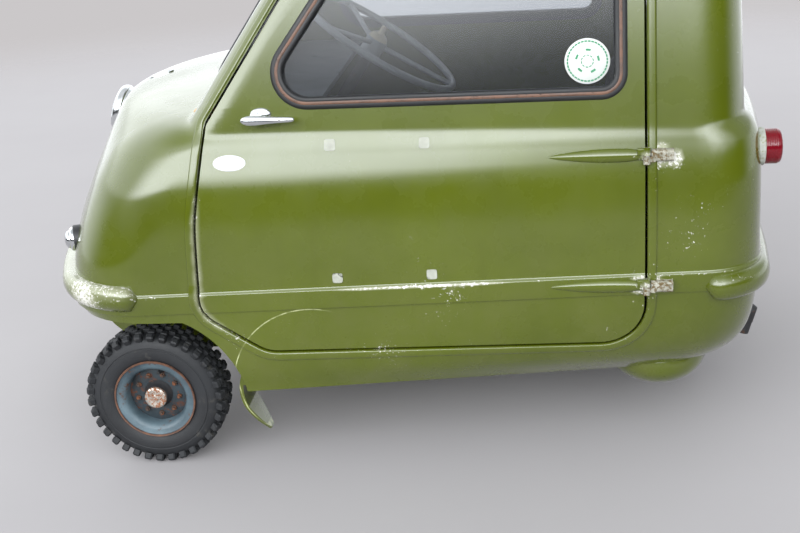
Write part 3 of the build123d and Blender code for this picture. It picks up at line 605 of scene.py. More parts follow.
def build_groups():
    """Effects that several finishes share: chips, grime and a mottled tone."""
    n, i, o = new_group("Paint chips", [("Amount", FLOAT, 0.5), ("Scale", FLOAT, 60.0), ("Wear", FLOAT, 0.0)],
                        [("Mask", FLOAT), ("Height", FLOAT)])
    where = n.place()
    ragged = n.noise(where, i.outputs["Scale"], 8.0, 0.7)
    patches = n.noise(where, 7.0, 3.0, 0.5)
    spots = n.plus(ragged, n.times(n.minus(patches, 0.5), 0.5))
    limit = n.minus(0.86, n.times(i.outputs["Wear"], 0.42), n.times(i.outputs["Amount"], 0.1))
    mask = n.smooth(n.minus(spots, limit), 0.0, 0.018)
    n.feed(mask, o.inputs["Mask"])
    n.feed(n.times(mask, -1.0), o.inputs["Height"])

    n, i, o = new_group("Tone", [("Scale", FLOAT, 6.0), ("Low", COLOUR, (0.1, 0.1, 0.1, 1)),
                                 ("High", COLOUR, (0.2, 0.2, 0.2, 1)), ("Contrast", FLOAT, 1.0)],
                        [("Colour", COLOUR), ("Mask", FLOAT)])
    wide = n.noise(n.place(), i.outputs["Scale"], 5.0, 0.6)
    spread = n.times(n.minus(wide, 0.5), n.times(i.outputs["Contrast"], 2.2))
    spread = n.math("ADD", spread, 0.5, clamp=True)
    n.feed(n.mix(spread, i.outputs["Low"], i.outputs["High"]), o.inputs["Colour"])
    n.feed(spread, o.inputs["Mask"])

    n, i, o = new_group("Grime", [("Floor", FLOAT, 0.12), ("Reach", FLOAT, 0.35), ("Amount", FLOAT, 1.0)],
                        [("Mask", FLOAT)])
    where = n.place()
    height = n.add("ShaderNodeSeparateXYZ", {0: where}).outputs["Z"]
    low = n.smooth(height, i.outputs["Floor"], n.plus(i.outputs["Floor"], i.outputs["Reach"]), 1.0, 0.0)
    cloud = n.smooth(n.noise(where, 14.0, 6.0, 0.65), 0.35, 0.7)
    n.feed(n.times(n.times(low, cloud), i.outputs["Amount"], clamp=True), o.inputs["Mask"])


MATERIALS = {}          # by this script's own names; the frame has plain ones of the same names


def new_material(name):
    mat = MATERIALS[name] = bpy.data.materials.new(name)
    mat.use_nodes = True
    mat.node_tree.nodes.clear()
    nodes = Nodes(mat.node_tree)
    shader = nodes.add("ShaderNodeBsdfPrincipled")
    out = nodes.add("ShaderNodeOutputMaterial", {"Surface": shader.outputs[0]})
    return nodes, shader, out


def use_group(nodes, name, **values):
    node = nodes.add("ShaderNodeGroup")
    node.node_tree = bpy.data.node_groups[name]
    for key, value in values.items():
        nodes.feed(value, node.inputs[key])
    return node


def bump(nodes, shader, height, strength, distance):
    nodes.feed(nodes.add("ShaderNodeBump", {"Strength": strength, "Distance": distance, "Height": height}),
               shader.inputs["Normal"])


SCRATCH_X, SCRATCH_Z, SCRATCH_R = 0.142, 0.172, 0.149      # metres; the scratch is part of a circle


def build_paint():
    """Old gloss paint: worn edges, chips, a long curved scratch on the door, runs, road film, and a pale
    painted highlight along the top of the band and of the front bumper.
    """
    look = bpy.context.scene.three_wheeler
    n, s, _ = new_material("green_paint")
    where = n.place()
    tone = use_group(n, "Tone", Scale=3.2, Low=(*look.paint_dark, 1), High=(*look.paint_light, 1),
                     Contrast=0.9)
    wear = n.add("ShaderNodeAttribute", attribute_name="wear").outputs["Fac"]
    chips = use_group(n, "Paint chips", Amount=1.2, Scale=190.0, Wear=wear)
    chipped = chips.outputs["Mask"]
    at = n.add("ShaderNodeSeparateXYZ", {"Vector": where}).outputs
    across, up = n.minus(at["X"], SCRATCH_X), n.minus(at["Z"], SCRATCH_Z)
    radius = n.math("SQRT", n.plus(n.times(across, across), n.times(up, up)))
    scratch = n.smooth(n.math("ABSOLUTE", n.minus(radius, SCRATCH_R)), 0.0006, 0.0013, 1.0, 0.0)
    scratch = n.times(scratch, n.smooth(at["X"], 0.09, 0.14), n.smooth(at["Y"], 0.3, 0.4),
                      n.smooth(n.noise(where, 45.0, 4.0, 0.6), 0.4, 0.6, 0.15, 0.7))
    film = use_group(n, "Grime", Floor=0.1, Reach=0.55, Amount=0.4).outputs["Mask"]
    streak = n.add("ShaderNodeMapping", {"Vector": where, "Scale": (9.0, 9.0, 1.0)})
    runs = n.smooth(n.noise(streak.outputs[0], 6.0, 5.0, 0.6), 0.52, 0.75, 0.0, 0.35)
    base = tone.outputs["Colour"]
    for mask, colour in ((runs, rgb("454d02")), (film, rgb("575b2c")),
                         # pale rubbed paint where edges are worn, and also the painted highlight along the
                         # band's top edge and the front bumper's top
                         (n.smooth(wear, 0.22, 0.5, 0.0, 0.65), rgb("9b9c84")),
                         (chipped, n.mix(n.noise(where, 30.0), rgb("8f8c84"), rgb("e6e5de"))),
                         (scratch, rgb("b9bd8e"))):
        base = n.mix(mask, base, colour)
    n.feed(base, s.inputs["Base Color"])
    cloud = n.smooth(n.noise(where, 11.0, 5.0, 0.6), 0.3, 0.75, 0.22, 0.36)
    n.feed(n.plus(cloud, n.times(chipped, 0.4)), s.inputs["Roughness"])
    n.feed(n.minus(1.0, chipped), s.inputs["Coat Weight"])
    s.inputs["Coat Roughness"].default_value = 0.1
    s.inputs["Specular IOR Level"].default_value = 0.25
    s.inputs["Coat IOR"].default_value = 1.52
    ripple, fine = n.noise(where, 9.0, 2.0, 0.4), n.noise(where, 420.0, 2.0, 0.5)
    height = n.plus(n.times(ripple, 0.4), n.times(fine, 0.05), n.times(chips.outputs["Height"], 0.12))
    bump(n, s, height, 0.2, 0.003)


def plain_finish(name, low, high, scale, rough, grain, rust=None, metallic=0.0, coat=0.0):
    """A mottled finish with a fine grain, and rust or dirt where it is given as (colour, amount)."""
    n, s, _ = new_material(name)
    where = n.place()
    tone = use_group(n, "Tone", Scale=scale, Low=rgb(low), High=rgb(high), Contrast=1.0)
    base, metal = tone.outputs["Colour"], metallic
    roughness = n.smooth(tone.outputs["Mask"], 0.0, 1.0, *rough)
    if rust:
        colour, amount = rust
        spots = n.smooth(n.noise(where, scale * 3.1, 8.0, 0.7), 0.62 - amount * 0.3, 0.72 - amount * 0.3)
        base = n.mix(spots, base, rgb(colour))
        roughness = n.plus(roughness, n.times(spots, 0.35))
        if metallic:
            metal = n.times(n.minus(1.0, spots), metallic)
    n.feed(base, s.inputs["Base Color"])
    n.feed(roughness, s.inputs["Roughness"])
    n.feed(metal, s.inputs["Metallic"])
    s.inputs["Coat Weight"].default_value = coat
    bump(n, s, n.noise(where, grain[0], 4.0, 0.6), grain[1], 0.001)


# Columns: deep and light colour, scale of the mottling, roughness, grain as scale and strength, then rust as
# colour and amount, metallic and coat where they are not zero.
FINISHES = {
    "black_rubber": ("0d0d0e", "202123", 18, (0.42, 0.62), (500, 0.2)),
    "tyre_rubber": ("0d0e11", "1f2124", 9, (0.55, 0.8), (380, 0.5), ("3b3a37", 0.12)),
    "chrome": ("b9bcbe", "dfe1e2", 30, (0.08, 0.2), (200, 0.04), ("6a5a48", 0.02), 1),
    "worn_chrome": ("a8a39a", "cfcac0", 60, (0.25, 0.45), (260, 0.3), ("7a4a2c", 0.55), 0.85),
    "black_steel": ("141416", "2a2a2c", 22, (0.45, 0.7), (260, 0.3), ("4a3325", 0.2)),
    "rusty_steel": ("2b211c", "4a3a30", 24, (0.6, 0.85), (260, 0.5), ("6b3f26", 0.45)),
    "rim_blue": ("26343c", "566870", 15, (0.4, 0.6), (260, 0.25), ("4b3122", 0.2), 0, 0.1),
    "rim_dark": ("15191b", "26333a", 22, (0.5, 0.75), (240, 0.4), ("4f2f20", 0.3)),
    "rust_edge": ("35211a", "6d4a36", 60, (0.6, 0.8), (300, 0.4)),
    "copper_strip": ("3d281c", "6f4c38", 45, (0.35, 0.55), (300, 0.3), ("3a2a22", 0.2)),
    "grey_trim": ("5d6165", "868a8e", 10, (0.6, 0.8), (220, 0.4), ("2b2c2e", 0.1)),
    "dark_trim": ("191a1c", "2a2b2e", 10, (0.6, 0.8), (240, 0.4)),
    "grey_wheel": ("8a8f94", "aeb3b7", 20, (0.3, 0.45), (260, 0.1), None, 0, 0.3),
    "black_vinyl": ("161617", "272729", 12, (0.38, 0.55), (320, 0.6)),
    "engine_alloy": ("4a4b4c", "7b7c7d", 18, (0.45, 0.7), (200, 0.4), ("2c2622", 0.3), 0.7),
    "tan_wood": ("9a7650", "c9a87c", 30, (0.5, 0.7), (90, 0.3)),
    "white_label": ("b4b7b2", "c9ccc8", 20, (0.35, 0.5), (200, 0.05)),
    "grey_tape": ("86887c", "a9aba0", 60, (0.5, 0.7), (200, 0.2)),
    "green_mark": ("1f6b48", "2f8458", 30, (0.35, 0.5), (200, 0.05)),
    "pale_worn": ("85877f", "b0b2aa", 60, (0.45, 0.65), (240, 0.3), ("6f7338", 0.25)),
    "bare_hinge": ("6d6c5c", "b3b1a4", 60, (0.45, 0.7), (260, 0.5), ("5a4a2c", 0.5), 0.3),
    "ivory_knob": ("b8ad92", "d4cab0", 20, (0.3, 0.45), (200, 0.05)),
}


def build_glass(name, tint, clear, roughness, film, scratch):
    """Glass whose roughness follows a dusty film and fine scratches."""
    n, s, _ = new_material(name)
    where = n.place()
    s.inputs["Base Color"].default_value = tint
    s.inputs["Transmission Weight"].default_value = clear
    s.inputs["IOR"].default_value = 1.45
    turn = {"Vector": where, "Rotation": (0.3, 0.5, 0.2), "Scale": (1.0, 1.0, 9.0)}
    stretch = n.add("ShaderNodeMapping", turn).outputs[0]
    hair = n.smooth(n.noise(stretch, 60.0, 10.0, 0.75), 0.60, 0.68)
    dust = n.smooth(n.noise(where, 9.0, 6.0, 0.7), 0.3, 0.8)
    marks = n.plus(n.times(dust, film), n.times(hair, scratch))
    n.feed(n.plus(roughness, n.times(marks, 0.5)), s.inputs["Roughness"])


def build_materials():
    build_groups()
    build_paint()
    for name, values in FINISHES.items():
        plain_finish(name, *values)
    build_glass("window_glass", (0.82, 0.86, 0.9, 1), 0.985, 0.0, 0.0, 0.03)
    build_glass("clear_lens", (0.95, 0.96, 0.96, 1), 1.0, 0.02, 0.1, 0.1)
    build_glass("red_lens", (0.2, 0.004, 0.012, 1), 0.35, 0.05, 0.1, 0.1)


# Settings that a user would change

class ThreeWheelerLook(bpy.types.PropertyGroup):
    paint_dark: bpy.props.FloatVectorProperty(
        name="Deep paint", description="Paint colour in the deeper patches", subtype="COLOR", size=3,
        default=rgb("404902")[:3], min=0.0, max=1.0)
    paint_light: bpy.props.FloatVectorProperty(
        name="Light paint", description="Paint colour in the faded patches", subtype="COLOR", size=3,
        default=rgb("4d5703")[:3], min=0.0, max=1.0)
    tread_blocks: bpy.props.IntProperty(
        name="Tread blocks", description="Shoulder blocks round each tyre", default=34, min=12, max=60)
    wear_reach: bpy.props.FloatProperty(
        name="Wear reach", description="How far chips spread from a panel's edge", default=0.014, min=0.0,
        max=0.1, unit="LENGTH")


# Pieces

def band_lift(x, z):
    """How far the raised band stands above or below its middle height at a place along the car."""
    return BAND_RISE * (BAND_LEVEL_X - x) * ramp(z, 300.0, 322.0) * (1 - ramp(z, 372.0, 410.0))


def ring_solid(rings):
    """A closed solid from skin rings."""
    bm = bmesh.new()
    full = 2 * RAYS

    def place(i, j):
        z, cx, radii = rings[j]
        r = radii[i if i <= RAYS else full - i]
        a = math.pi * i / RAYS
        x = cx + r * math.cos(a)
        return x, r * math.sin(a), z + band_lift(x, z)

    grid_surface(bm, full, len(rings) - 1, place, True)
    close_ends(bm)
    return bm


def arch_outline(grow):
    """The front wheel's opening from the side."""
    r, top = ARCH_R + grow, ARCH_TOP + grow
    a0 = math.acos((top - WHEEL_R) / r) + math.pi / 2
    round_part = arc(FRONT_X, WHEEL_R, r, a0, math.pi, 24)
    return [(900.0, -200.0), (900.0, top), *round_part, (FRONT_X - r, -200.0)]


def arch_cutters(grow):
    outline, y0 = arch_outline(grow), ARCH_Y - grow
    return [object_of("arch_left", side_prism(outline, y0, 700.0)),
            object_of("arch_right", side_prism(outline, -700.0, -y0))]


def well_cutter(grow):
    """The rear wheel's box in the tub, larger by grow."""
    x0, x1, y0, y1, z0, z1 = WELL
    bm = bmesh.new()
    box_of(bm, x0 - grow, x1 + grow, y0 - grow, y1 + grow, z0, z1 + grow)
    return object_of("well", bm)


def window_cutter(key):
    wall, edge, _ = WINDOWS[key]
    return object_of("window_" + key, wall.prism(rounded(edge), -80.0, 80.0))


FAIRING_X, FAIRING_Z, FAIRING_HALF = -478.0, 160.0, (110.0, 392.0, 70.0)


def fairing_solid():
    """The round-ended bulge under the tub that covers the rear wheel's box."""
    bm = bmesh.new()
    across, around = 44, 40
    long, wide, deep = FAIRING_HALF

    def place(i, j):
        s = math.sin((-1.0 + 2.0 * j / across) * math.pi / 2)
        size = (1 - abs(s) ** 4.5) ** (1 / 2.3) if abs(s) < 1 else 0.0
        a = math.tau * i / around
        return FAIRING_X + long * size * math.cos(a), wide * s, FAIRING_Z + deep * size * math.sin(a)

    grid_surface(bm, around, across, place, True)
    close_ends(bm)
    return bm


def wear_and_highlight_values(obj, places):
    """Stores each vertex's wear and painted highlight: wear at the door's edges, a pale line on the band's
    top edge that is partly scuffs and partly a painted highlight, and wear at each (place, reach, amount).
    """
    look = bpy.context.scene.three_wheeler
    reach = look.wear_reach / MM
    edge = resampled(rounded(DOOR_EDGE, -DOOR_CUT / 2), 12.0)
    wear = obj.data.attributes.new("wear", "FLOAT", "POINT")
    values = []
    for v in obj.data.vertices:
        x, y, z = v.co / MM
        value = 0.0
        if y > 150 and -560 < x < 420:
            near = min((x - a) ** 2 + (z - b) ** 2 for a, b in edge) ** 0.5
            busy = 0.02 + 0.42 * ramp(x, 250.0, 320.0) * (1 - ramp(z, 480.0, 640.0))
            busy += 0.22 * (1 - ramp(z, 246.0, 300.0)) * (0.6 + 0.4 * math.sin(x / 41.0))
            value = max(value, busy * math.exp(-(near / reach) ** 2))
        # a pale line along the band's top edge: partly scuffs, partly a painted highlight on the ledge
        scuffs_and_highlight = 0.28 + 0.4 * ramp(x, -230.0, -150.0) * (1 - ramp(x, 40.0, 110.0))
        value = max(value, scuffs_and_highlight * math.exp(-((z - band_lift(x, z) - BAND_TOP + 1) / 3.2) ** 2))
        for (px, py, pz), far, amount in places:
            if abs(x - px) < far * 3 and abs(z - pz) < far * 3 and abs(y - py) < far * 3:
                d = math.dist((x, y, z), (px, py, pz))
                value = max(value, amount * math.exp(-(d / far) ** 2))
        values.append(value)
    wear.data.foreach_set("value", values)


def hinge_at(z):
    return Vector((HINGE_X, HINGE_Y - (z - HINGE_Z[0]) * math.tan(HINGE_LEAN), z))


class BodySkin(bpy.types.Operator):
    """Body, greenhouse and tub as one hollow moulding, with its openings cut"""
    bl_idname = "three_wheeler.body_skin"
    bl_label = "Body moulding"

    def execute(self, context):
        shell = object_of("body_moulding", ring_solid(SKIN))
        combined(shell, [object_of("fairing", fairing_solid())], "UNION")
        hollow = object_of("hollow", ring_solid(skin_rings(WALL, 26.0)))
        combined(hollow, arch_cutters(WALL) + [well_cutter(WALL)])
        combined(shell, [hollow])
        door = object_of("door", side_prism(resampled(rounded(DOOR_EDGE, -DOOR_CUT), 14.0), *DOOR_REACH))
        windows = [window_cutter(key) for key in ("screen", "right", "back")]
        combined(shell, arch_cutters(0.0) + [well_cutter(0.0), door] + windows)
        lower, upper = (hinge_at(z) for z in HINGE_Z)
        wear_and_highlight_values(shell, [
            (upper - Vector((20, 8, 0)), 22.0, 0.85), (upper - Vector((45, 12, 8)), 16.0, 1.0),
            (lower - Vector((20, 8, 0)), 16.0, 0.7), ((285, 440, 165), 30.0, 0.5)])
        finished(shell, "body", "green_paint",
                 ["nose_moulding", "right_side_moulding", "tail_moulding", "floor_tub", "rear_wheel_fairing",
                  "windscreen_surround", "right_cab_side", "rear_cab_wall", "roof_moulding"], 32.0)
        return {"FINISHED"}


class DoorSkin(bpy.types.Operator):
    """Door cut from the same surface, thicker than the body's wall, with its window opening"""
    bl_idname = "three_wheeler.door_skin"
    bl_label = "Door"

    def execute(self, context):
        door = object_of("door_moulding", side_prism(rounded(DOOR_EDGE, -DOOR_GROWN), *DOOR_REACH))
        combined(door, [object_of("outer", ring_solid(SKIN))], "INTERSECT")
        combined(door, [object_of("inner", ring_solid(skin_rings(DOOR_THICK, 20.0))), window_cutter("door")])
        lower, upper = (hinge_at(z) for z in HINGE_Z)
        wear_and_highlight_values(door, [(lower + Vector((10, 0, 0)), 20.0, 1.0), (upper + Vector((4, 0, 0)), 10.0, 0.8),
                           ((-110, 484, 352), 26.0, 0.3), ((-390, 484, 262), 24.0, 0.5)])
        finished(door, "door", "green_paint", ["door_panel"], 32.0)
        return {"FINISHED"}


LIP = [(-7.5, -1), (-7.5, 1.8), (-6.3, 3), (-4, 3.4), (0, 3.4), (4.5, 3.2), (6.6, 2.6), (7.5, 1.4), (7.5, -1)]


class DoorLip(bpy.types.Operator):
    """Raised lip of the body round the door opening"""
    bl_idname = "three_wheeler.door_lip"
    bl_label = "Door opening's lip"

    def execute(self, context):
        line = resampled(rounded(DOOR_EDGE, -DOOR_CUT - 8.0), 9.0)
        path, normals = on_skin(line)
        bm = bmesh.new()
        swept(bm, path, normals, LIP)
        outward(bm)
        lip = object_of("door_opening_lip", bm)
        wear_and_highlight_values(lip, [((-460, 440, 400), 260.0, 0.12)])
        finished(lip, "body", "green_paint")
        return {"FINISHED"}


BUMPER = [(-23, -8), (-23.5, 6), (-22, 12), (-17, 16.5), (-9, 19.2), (0, 20), (8, 18.6), (15, 15.4),
          (20, 11), (23.5, 5), (24.5, 1), (24, -8)]
BUMPER_TIP = 24.0


def bumper(sign, x_end):
    """Half-round moulding round one end of the body, its tips rounded off."""
    half = half_plan(*body_row(station_at(BUMPER_Z))[1:9])
    side = [(x, y) for x, y in half if (x - x_end) * sign > 0][::sign]
    line = resampled([(x, -y) for x, y in reversed(side)][:-1] + side, 14.0, False)
    path = [Vector((x, y, BUMPER_Z + BAND_RISE * 0.5 * (x_end - x) * (sign < 0))) for x, y in line]
    gap, last = math.dist(line[0], line[1]), len(line) - 1
    normals, sizes = [], []
    for j in range(len(line)):
        t = (path[min(j + 1, last)] - path[max(j - 1, 0)]).normalized()
        out = Vector((t.y, -t.x, 0))
        normals.append(out if out.dot(Vector((path[j].x - RING_X, path[j].y, 0))) > 0 else -out)
        u = min(min(j, last - j) * gap / BUMPER_TIP, 1.0)
        sizes.append(max(math.sqrt(max(1 - (1 - u) ** 2, 0.0)), 0.12))
    bm = bmesh.new()
    swept(bm, path, normals, BUMPER, False, sizes)
    close_ends(bm)
    return bm


class Bumpers(bpy.types.Operator):
    """Bumpers moulded round the nose and the tail"""
    bl_idname = "three_wheeler.bumpers"
    bl_label = "Bumpers"

    def execute(self, context):
        for name, sign, x_end, worn in (("front_bumper", 1, 352.0, 0.42), ("rear_bumper", -1, -512.0, 0.2)):
            obj = object_of(name, bumper(sign, x_end))
            wear_and_highlight_values(obj, [((430, 495, 334), 22.0, 0.9), ((560, 470, 345), 45.0, 0.7)])
            values = obj.data.attributes["wear"].data
            # the upper half of each bumper gets more wear: a paler top on the front one, which is a painted
            # highlight along with wear, and more chips on both; worn sets how much
            highlight_and_wear_top = [max(old.value, worn * ramp(v.co.z / MM - BUMPER_Z, 3.0, 11.0))
                     for old, v in zip(values, obj.data.vertices)]
            values.foreach_set("value", highlight_and_wear_top)
            finished(obj, "body", "green_paint")
        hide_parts("bumper_mouldings")
        return {"FINISHED"}


SEAL = [(-11, -14), (-11, 2), (-9.5, 4.4), (-6.5, 5.4), (-3.2, 4.6), (-3.0, 3.4), (2.2, 3.4), (2.4, 4.4),
        (5.5, 4.6), (9.0, 3.0), (11, -1), (11, -14)]
FILLER = [(-3, 2.5), (-3, 4.2), (-0.4, 5), (2.2, 4.2), (2.2, 2.5)]


def round_window(key, profile):
    """A profile carried round a window's edge."""
    wall, edge, _ = WINDOWS[key]
    path = [wall.at(u, v) for u, v in resampled(rounded(edge, SEAL_W / 2 - 1), 8.0)]
    bm = bmesh.new()
    swept(bm, path, [wall.w] * len(path), profile)
    outward(bm)
    return bm


class Glazing(bpy.types.Operator):
    """Window rubbers with their filler strips, and the panes"""
    bl_idname = "three_wheeler.glazing"
    bl_label = "Windows"

    def execute(self, context):
        for key, (wall, edge, thick) in WINDOWS.items():
            body, seal, glass = (("door", "door_window_seal", "door_window_glass") if key == "door"
                                 else ("body", "window_seals", "window_glass"))
            back = -thick - 2
            rubber = round_window(key, [(a, max(b, back) if b > -14 else back) for a, b in SEAL])
            piece(f"{key}_window_rubber", rubber, body, "black_rubber", [seal], 45.0)
            if key in ("door", "right"):
                filler = round_window(key, FILLER)
                piece(f"{key}_window_filler", filler, body, "copper_strip", (), 45.0)
            depth = -thick / 2 + (0 if key != "back" else -6)
            pane = wall.prism(rounded(edge, SEAL_W - 3.0), depth, depth + 4.0)
            piece(f"{key}_window_pane", pane, body, "window_glass", [glass], 30.0)
        return {"FINISHED"}


HEADLAMP_AT, HEADLAMP_TILT = Vector((587, 0, 586)), math.radians(18.0)
SIDE_LAMP_AT, SIDE_LAMP_TURN = Vector((606, 330, 414)), math.radians(20.0)
TAIL_LAMP_AT, TAIL_LAMP_RIBS = Vector((-648, 350, 560)), 8


class Lamps(bpy.types.Operator):
    """Headlamp with its chrome rim, front side lamps and tail lamps"""
    bl_idname = "three_wheeler.lamps"
    bl_label = "Lamps"

    def execute(self, context):
        axis, at = Vector((math.cos(HEADLAMP_TILT), 0, math.sin(HEADLAMP_TILT))), HEADLAMP_AT
        bezel = [(43, -46), (46, -46), (47.6, -8), (48, 0), (50, 1.4), (50.4, 4), (50, 8.4), (48.8, 12.4),
                 (46.8, 15.6), (44.6, 17.8), (42.8, 18.4), (41.6, 17.8), (41.2, 15.5), (41.6, 10), (42, -10),
                 (42.4, -45)]
        turned("headlamp_bezel", [(bezel, 72, axis, at, True)], "chrome", ["headlamp_rim"])
        glass = [(0, 27), (12, 26.4), (24, 24.2), (34, 20.4), (41.4, 15), (41.4, 12), (33, 17), (22, 21),
                 (10, 23.2), (0, 23.8)]
        turned("headlamp_glass", [(glass, 64, axis, at)], "clear_lens", ["headlamp_lens"])
        bowl = [(0, -22), (7, -21), (18, -17), (29, -9), (37, 2), (41, 11), (41.6, 11), (37.6, 1), (29, -11),
                (18, -19), (7, -23), (0, -24)]
        bulb = [(0, -6), (5, -7), (7.5, -11), (8, -16), (8, -22)]
        turned("headlamp_bowl", [(bowl, 56, axis, at), (bulb, 24, axis, at)], "chrome")

        axis, at = Vector((math.cos(SIDE_LAMP_TURN), math.sin(SIDE_LAMP_TURN), 0)), SIDE_LAMP_AT
        shell = [(0, -14), (22.5, -14), (23, 3), (22.5, 7), (20.8, 10), (19, 11), (17.8, 10.4), (17.6, 8)]
        lens = [(17.4, 4), (17.2, 12), (15.5, 16), (11, 19), (5, 20.5), (0, 21)]
        turned("front_side_lamps", [(shell, 48, axis, at), (lens, 40, axis, at)], "chrome", ["side_lamps"],
               fill=True, both=True)
        gasket = [(22, -14), (26, -14), (26, 1), (24.8, 3.4), (22, 3.8)]
        turned("side_lamp_gaskets", [(gasket, 48, axis, at, True)], "black_rubber", both=True)

        axis, at = Vector((-1, 0, 0)), TAIL_LAMP_AT
        lens = [(0, -20), (30.5, -20), (30.5, 2)]
        for k in range(TAIL_LAMP_RIBS):
            lens += [(30.7, 2.5 + 2.9 * k), (30.1, 3.9 + 2.9 * k)]
        lens += [(29.8, 25.5), (28.5, 28.6), (25.5, 30.6), (20, 31.9), (11, 32.7), (0, 33)]
        turned("tail_lamp_lenses", [(lens, 56, axis, at)], "red_lens", ["tail_lamps"], angle=40.0, fill=True,
               both=True)
        base = [(30, -24), (33, -24), (33, 1.0), (32.2, 2.2), (30.6, 2.6)]
        turned("tail_lamp_bases", [(base, 56, axis, at, True)], "pale_worn", angle=40.0,
               both=True)
        return {"FINISHED"}


HANDLE_U, HANDLE_V = -203.0, 25.5
LEVER = [(-236.5, 0.8), (-235.5, 3.2), (-232, 6), (-226, 8), (-219, 9), (-211, 9.1), (-203, 8.4),
         (-192, 7.2), (-178, 6.1), (-164, 5.3), (-152, 4.7), (-146, 4), (-143.4, 2.6), (-142.8, 0.8)]


class DoorHandle(bpy.types.Operator):
    """Tapered lever on its boss, with the oval plate under it"""
    bl_idname = "three_wheeler.door_handle"
    bl_label = "Door handle"

    def execute(self, context):
        bm = bmesh.new()
        path = [LEFT.at(u, HANDLE_V - 10.5, 21.0 + 0.02 * (u + 236)) for u, _ in LEVER]
        oval = [(math.cos(math.tau * i / 24), 0.72 * math.sin(math.tau * i / 24)) for i in range(24)]
        swept(bm, path, [LEFT.w] * len(path), oval, False, [h for _, h in LEVER])
        close_ends(bm)
        screw = [(0, 27.4), (2.6, 27.2), (3.4, 26.2), (3.6, 24)]
        spun(bm, screw, 24, LEFT.w, LEFT.at(-222.0, HANDLE_V - 10.5))
        boss = [(10.5, -2), (10.2, 3), (8.4, 6.5), (7.4, 11), (7.8, 16), (8.2, 20), (0, 21)]
        spun(bm, boss, 40, LEFT.w, LEFT.at(-212.0, HANDLE_V - 6.0))
        close_ends(bm)
        piece("door_lever", bm, "door", "chrome", ["door_handle"])
        bm = bmesh.new()
        spun(bm, [(0, 5.2), (0.55, 5.0), (0.8, 4.2), (0.94, 2.8), (1.0, 1.0), (1.0, -2)], 56)
        for v in bm.verts:
            v.co = LEFT.at(HANDLE_U - 2 + v.co.x * 18.5, HANDLE_V - 1.0 + v.co.y * 11.5, v.co.z)
        close_ends(bm)
        piece("door_handle_plate", bm, "door", "chrome")
        return {"FINISHED"}


def drop_on(tree, x, y, lift):
    """The place at lift above a surface, straight below (x, y)."""
    hit = tree.ray_cast(Vector((x, y, 900.0)) * MM, Vector((0, 0, -1)))[0]
    if hit is None:
        raise RuntimeError("nothing below the badge")
    return Vector((x, y, hit.z / MM + lift))


def skin_patch(bm, x, z, half_x, half_z, power):
    """A thin patch on the left skin, squarer with a higher power."""
    steps, rings, lift = 28, 3, 0.6

    def place(i, j):
        a = math.tau * i / steps
        ca, sa = math.cos(a), math.sin(a)
        r = (abs(ca) ** power + abs(sa) ** power) ** (-1 / power) * j / rings
        px, pz = x + half_x * r * ca, z + half_z * r * sa
        return Vector((px, skin_y(px, pz), pz)) + skin_normal(px, pz) * lift

    grid_surface(bm, steps, rings, place, True)
    close_ends(bm)


# Hinge fairing. Columns: distance along, half height, how far it stands out.
LEAF = [(-8, 9.8, 8.8), (0, 9, 8.6), (16, 11.2, 8.8), (40, 11.8, 8.6), (64, 11.4, 8), (88, 9.8, 6.8),
        (110, 7.6, 5.2), (128, 5.2, 3.6), (140, 3.2, 2.4), (147, 1, 1)]


class HingeLeaves(bpy.types.Operator):
    """Pointed fairings that hold the door to its two hinges"""
    bl_idname = "three_wheeler.hinge_leaves"
    bl_label = "Hinge fairings"

    def execute(self, context):
        both = bmesh.new()
        round_ = [(math.cos(math.pi * i / 14), math.sin(math.pi * i / 14)) for i in range(15)]
        round_ += [(-1.0, -0.7), (1.0, -0.7)]
        for z in HINGE_Z:
            base = hinge_at(z)
            path, normals, sizes = [], [], []
            for along, high, proud in LEAF:
                x = base.x + 14 + along
                path.append(Vector((x, skin_y(x, z), z)))
                normals.append(skin_normal(x, z))
                sizes.append((high, proud))
            bm = bmesh.new()

            def place(i, j):
                a, b = round_[i % len(round_)]
                up = normals[j].cross(Vector((1, 0, 0)))
                return path[j] - up * a * sizes[j][0] + normals[j] * b * sizes[j][1]

            grid_surface(bm, len(round_), len(path) - 1, place, True)
            close_ends(bm)
            axle = Vector((0, -math.sin(HINGE_LEAN), math.cos(HINGE_LEAN)))
            spun(bm, [(3.1, 0.4), (6.2, 0.4), (6.4, 7.0), (6.2, 14.2), (3.1, 14.2)], 28, axle, base, True)
            box_of(bm, base.x + 4, base.x + 16, base.y - 8, base.y + 3, z + 1, z + 13, 1.5)
            outward(bm)
            mesh = bpy.data.meshes.new("leaf")
            bm.to_mesh(mesh)
            bm.free()
            both.from_mesh(mesh)
        obj = object_of("hinge_fairings", both)
        wear_and_highlight_values(obj, [(hinge_at(z), 13.0, 0.6) for z in HINGE_Z])
        finished(obj, "door", "green_paint", ["door_hinges"])
        return {"FINISHED"}


BADGE_X, BADGE_LONG, BADGE_WIDE = 503.0, 27.0, 17.0     # middle and half sizes
DISC_U, DISC_V, DISC_R = 349.0, 93.5, 37.0


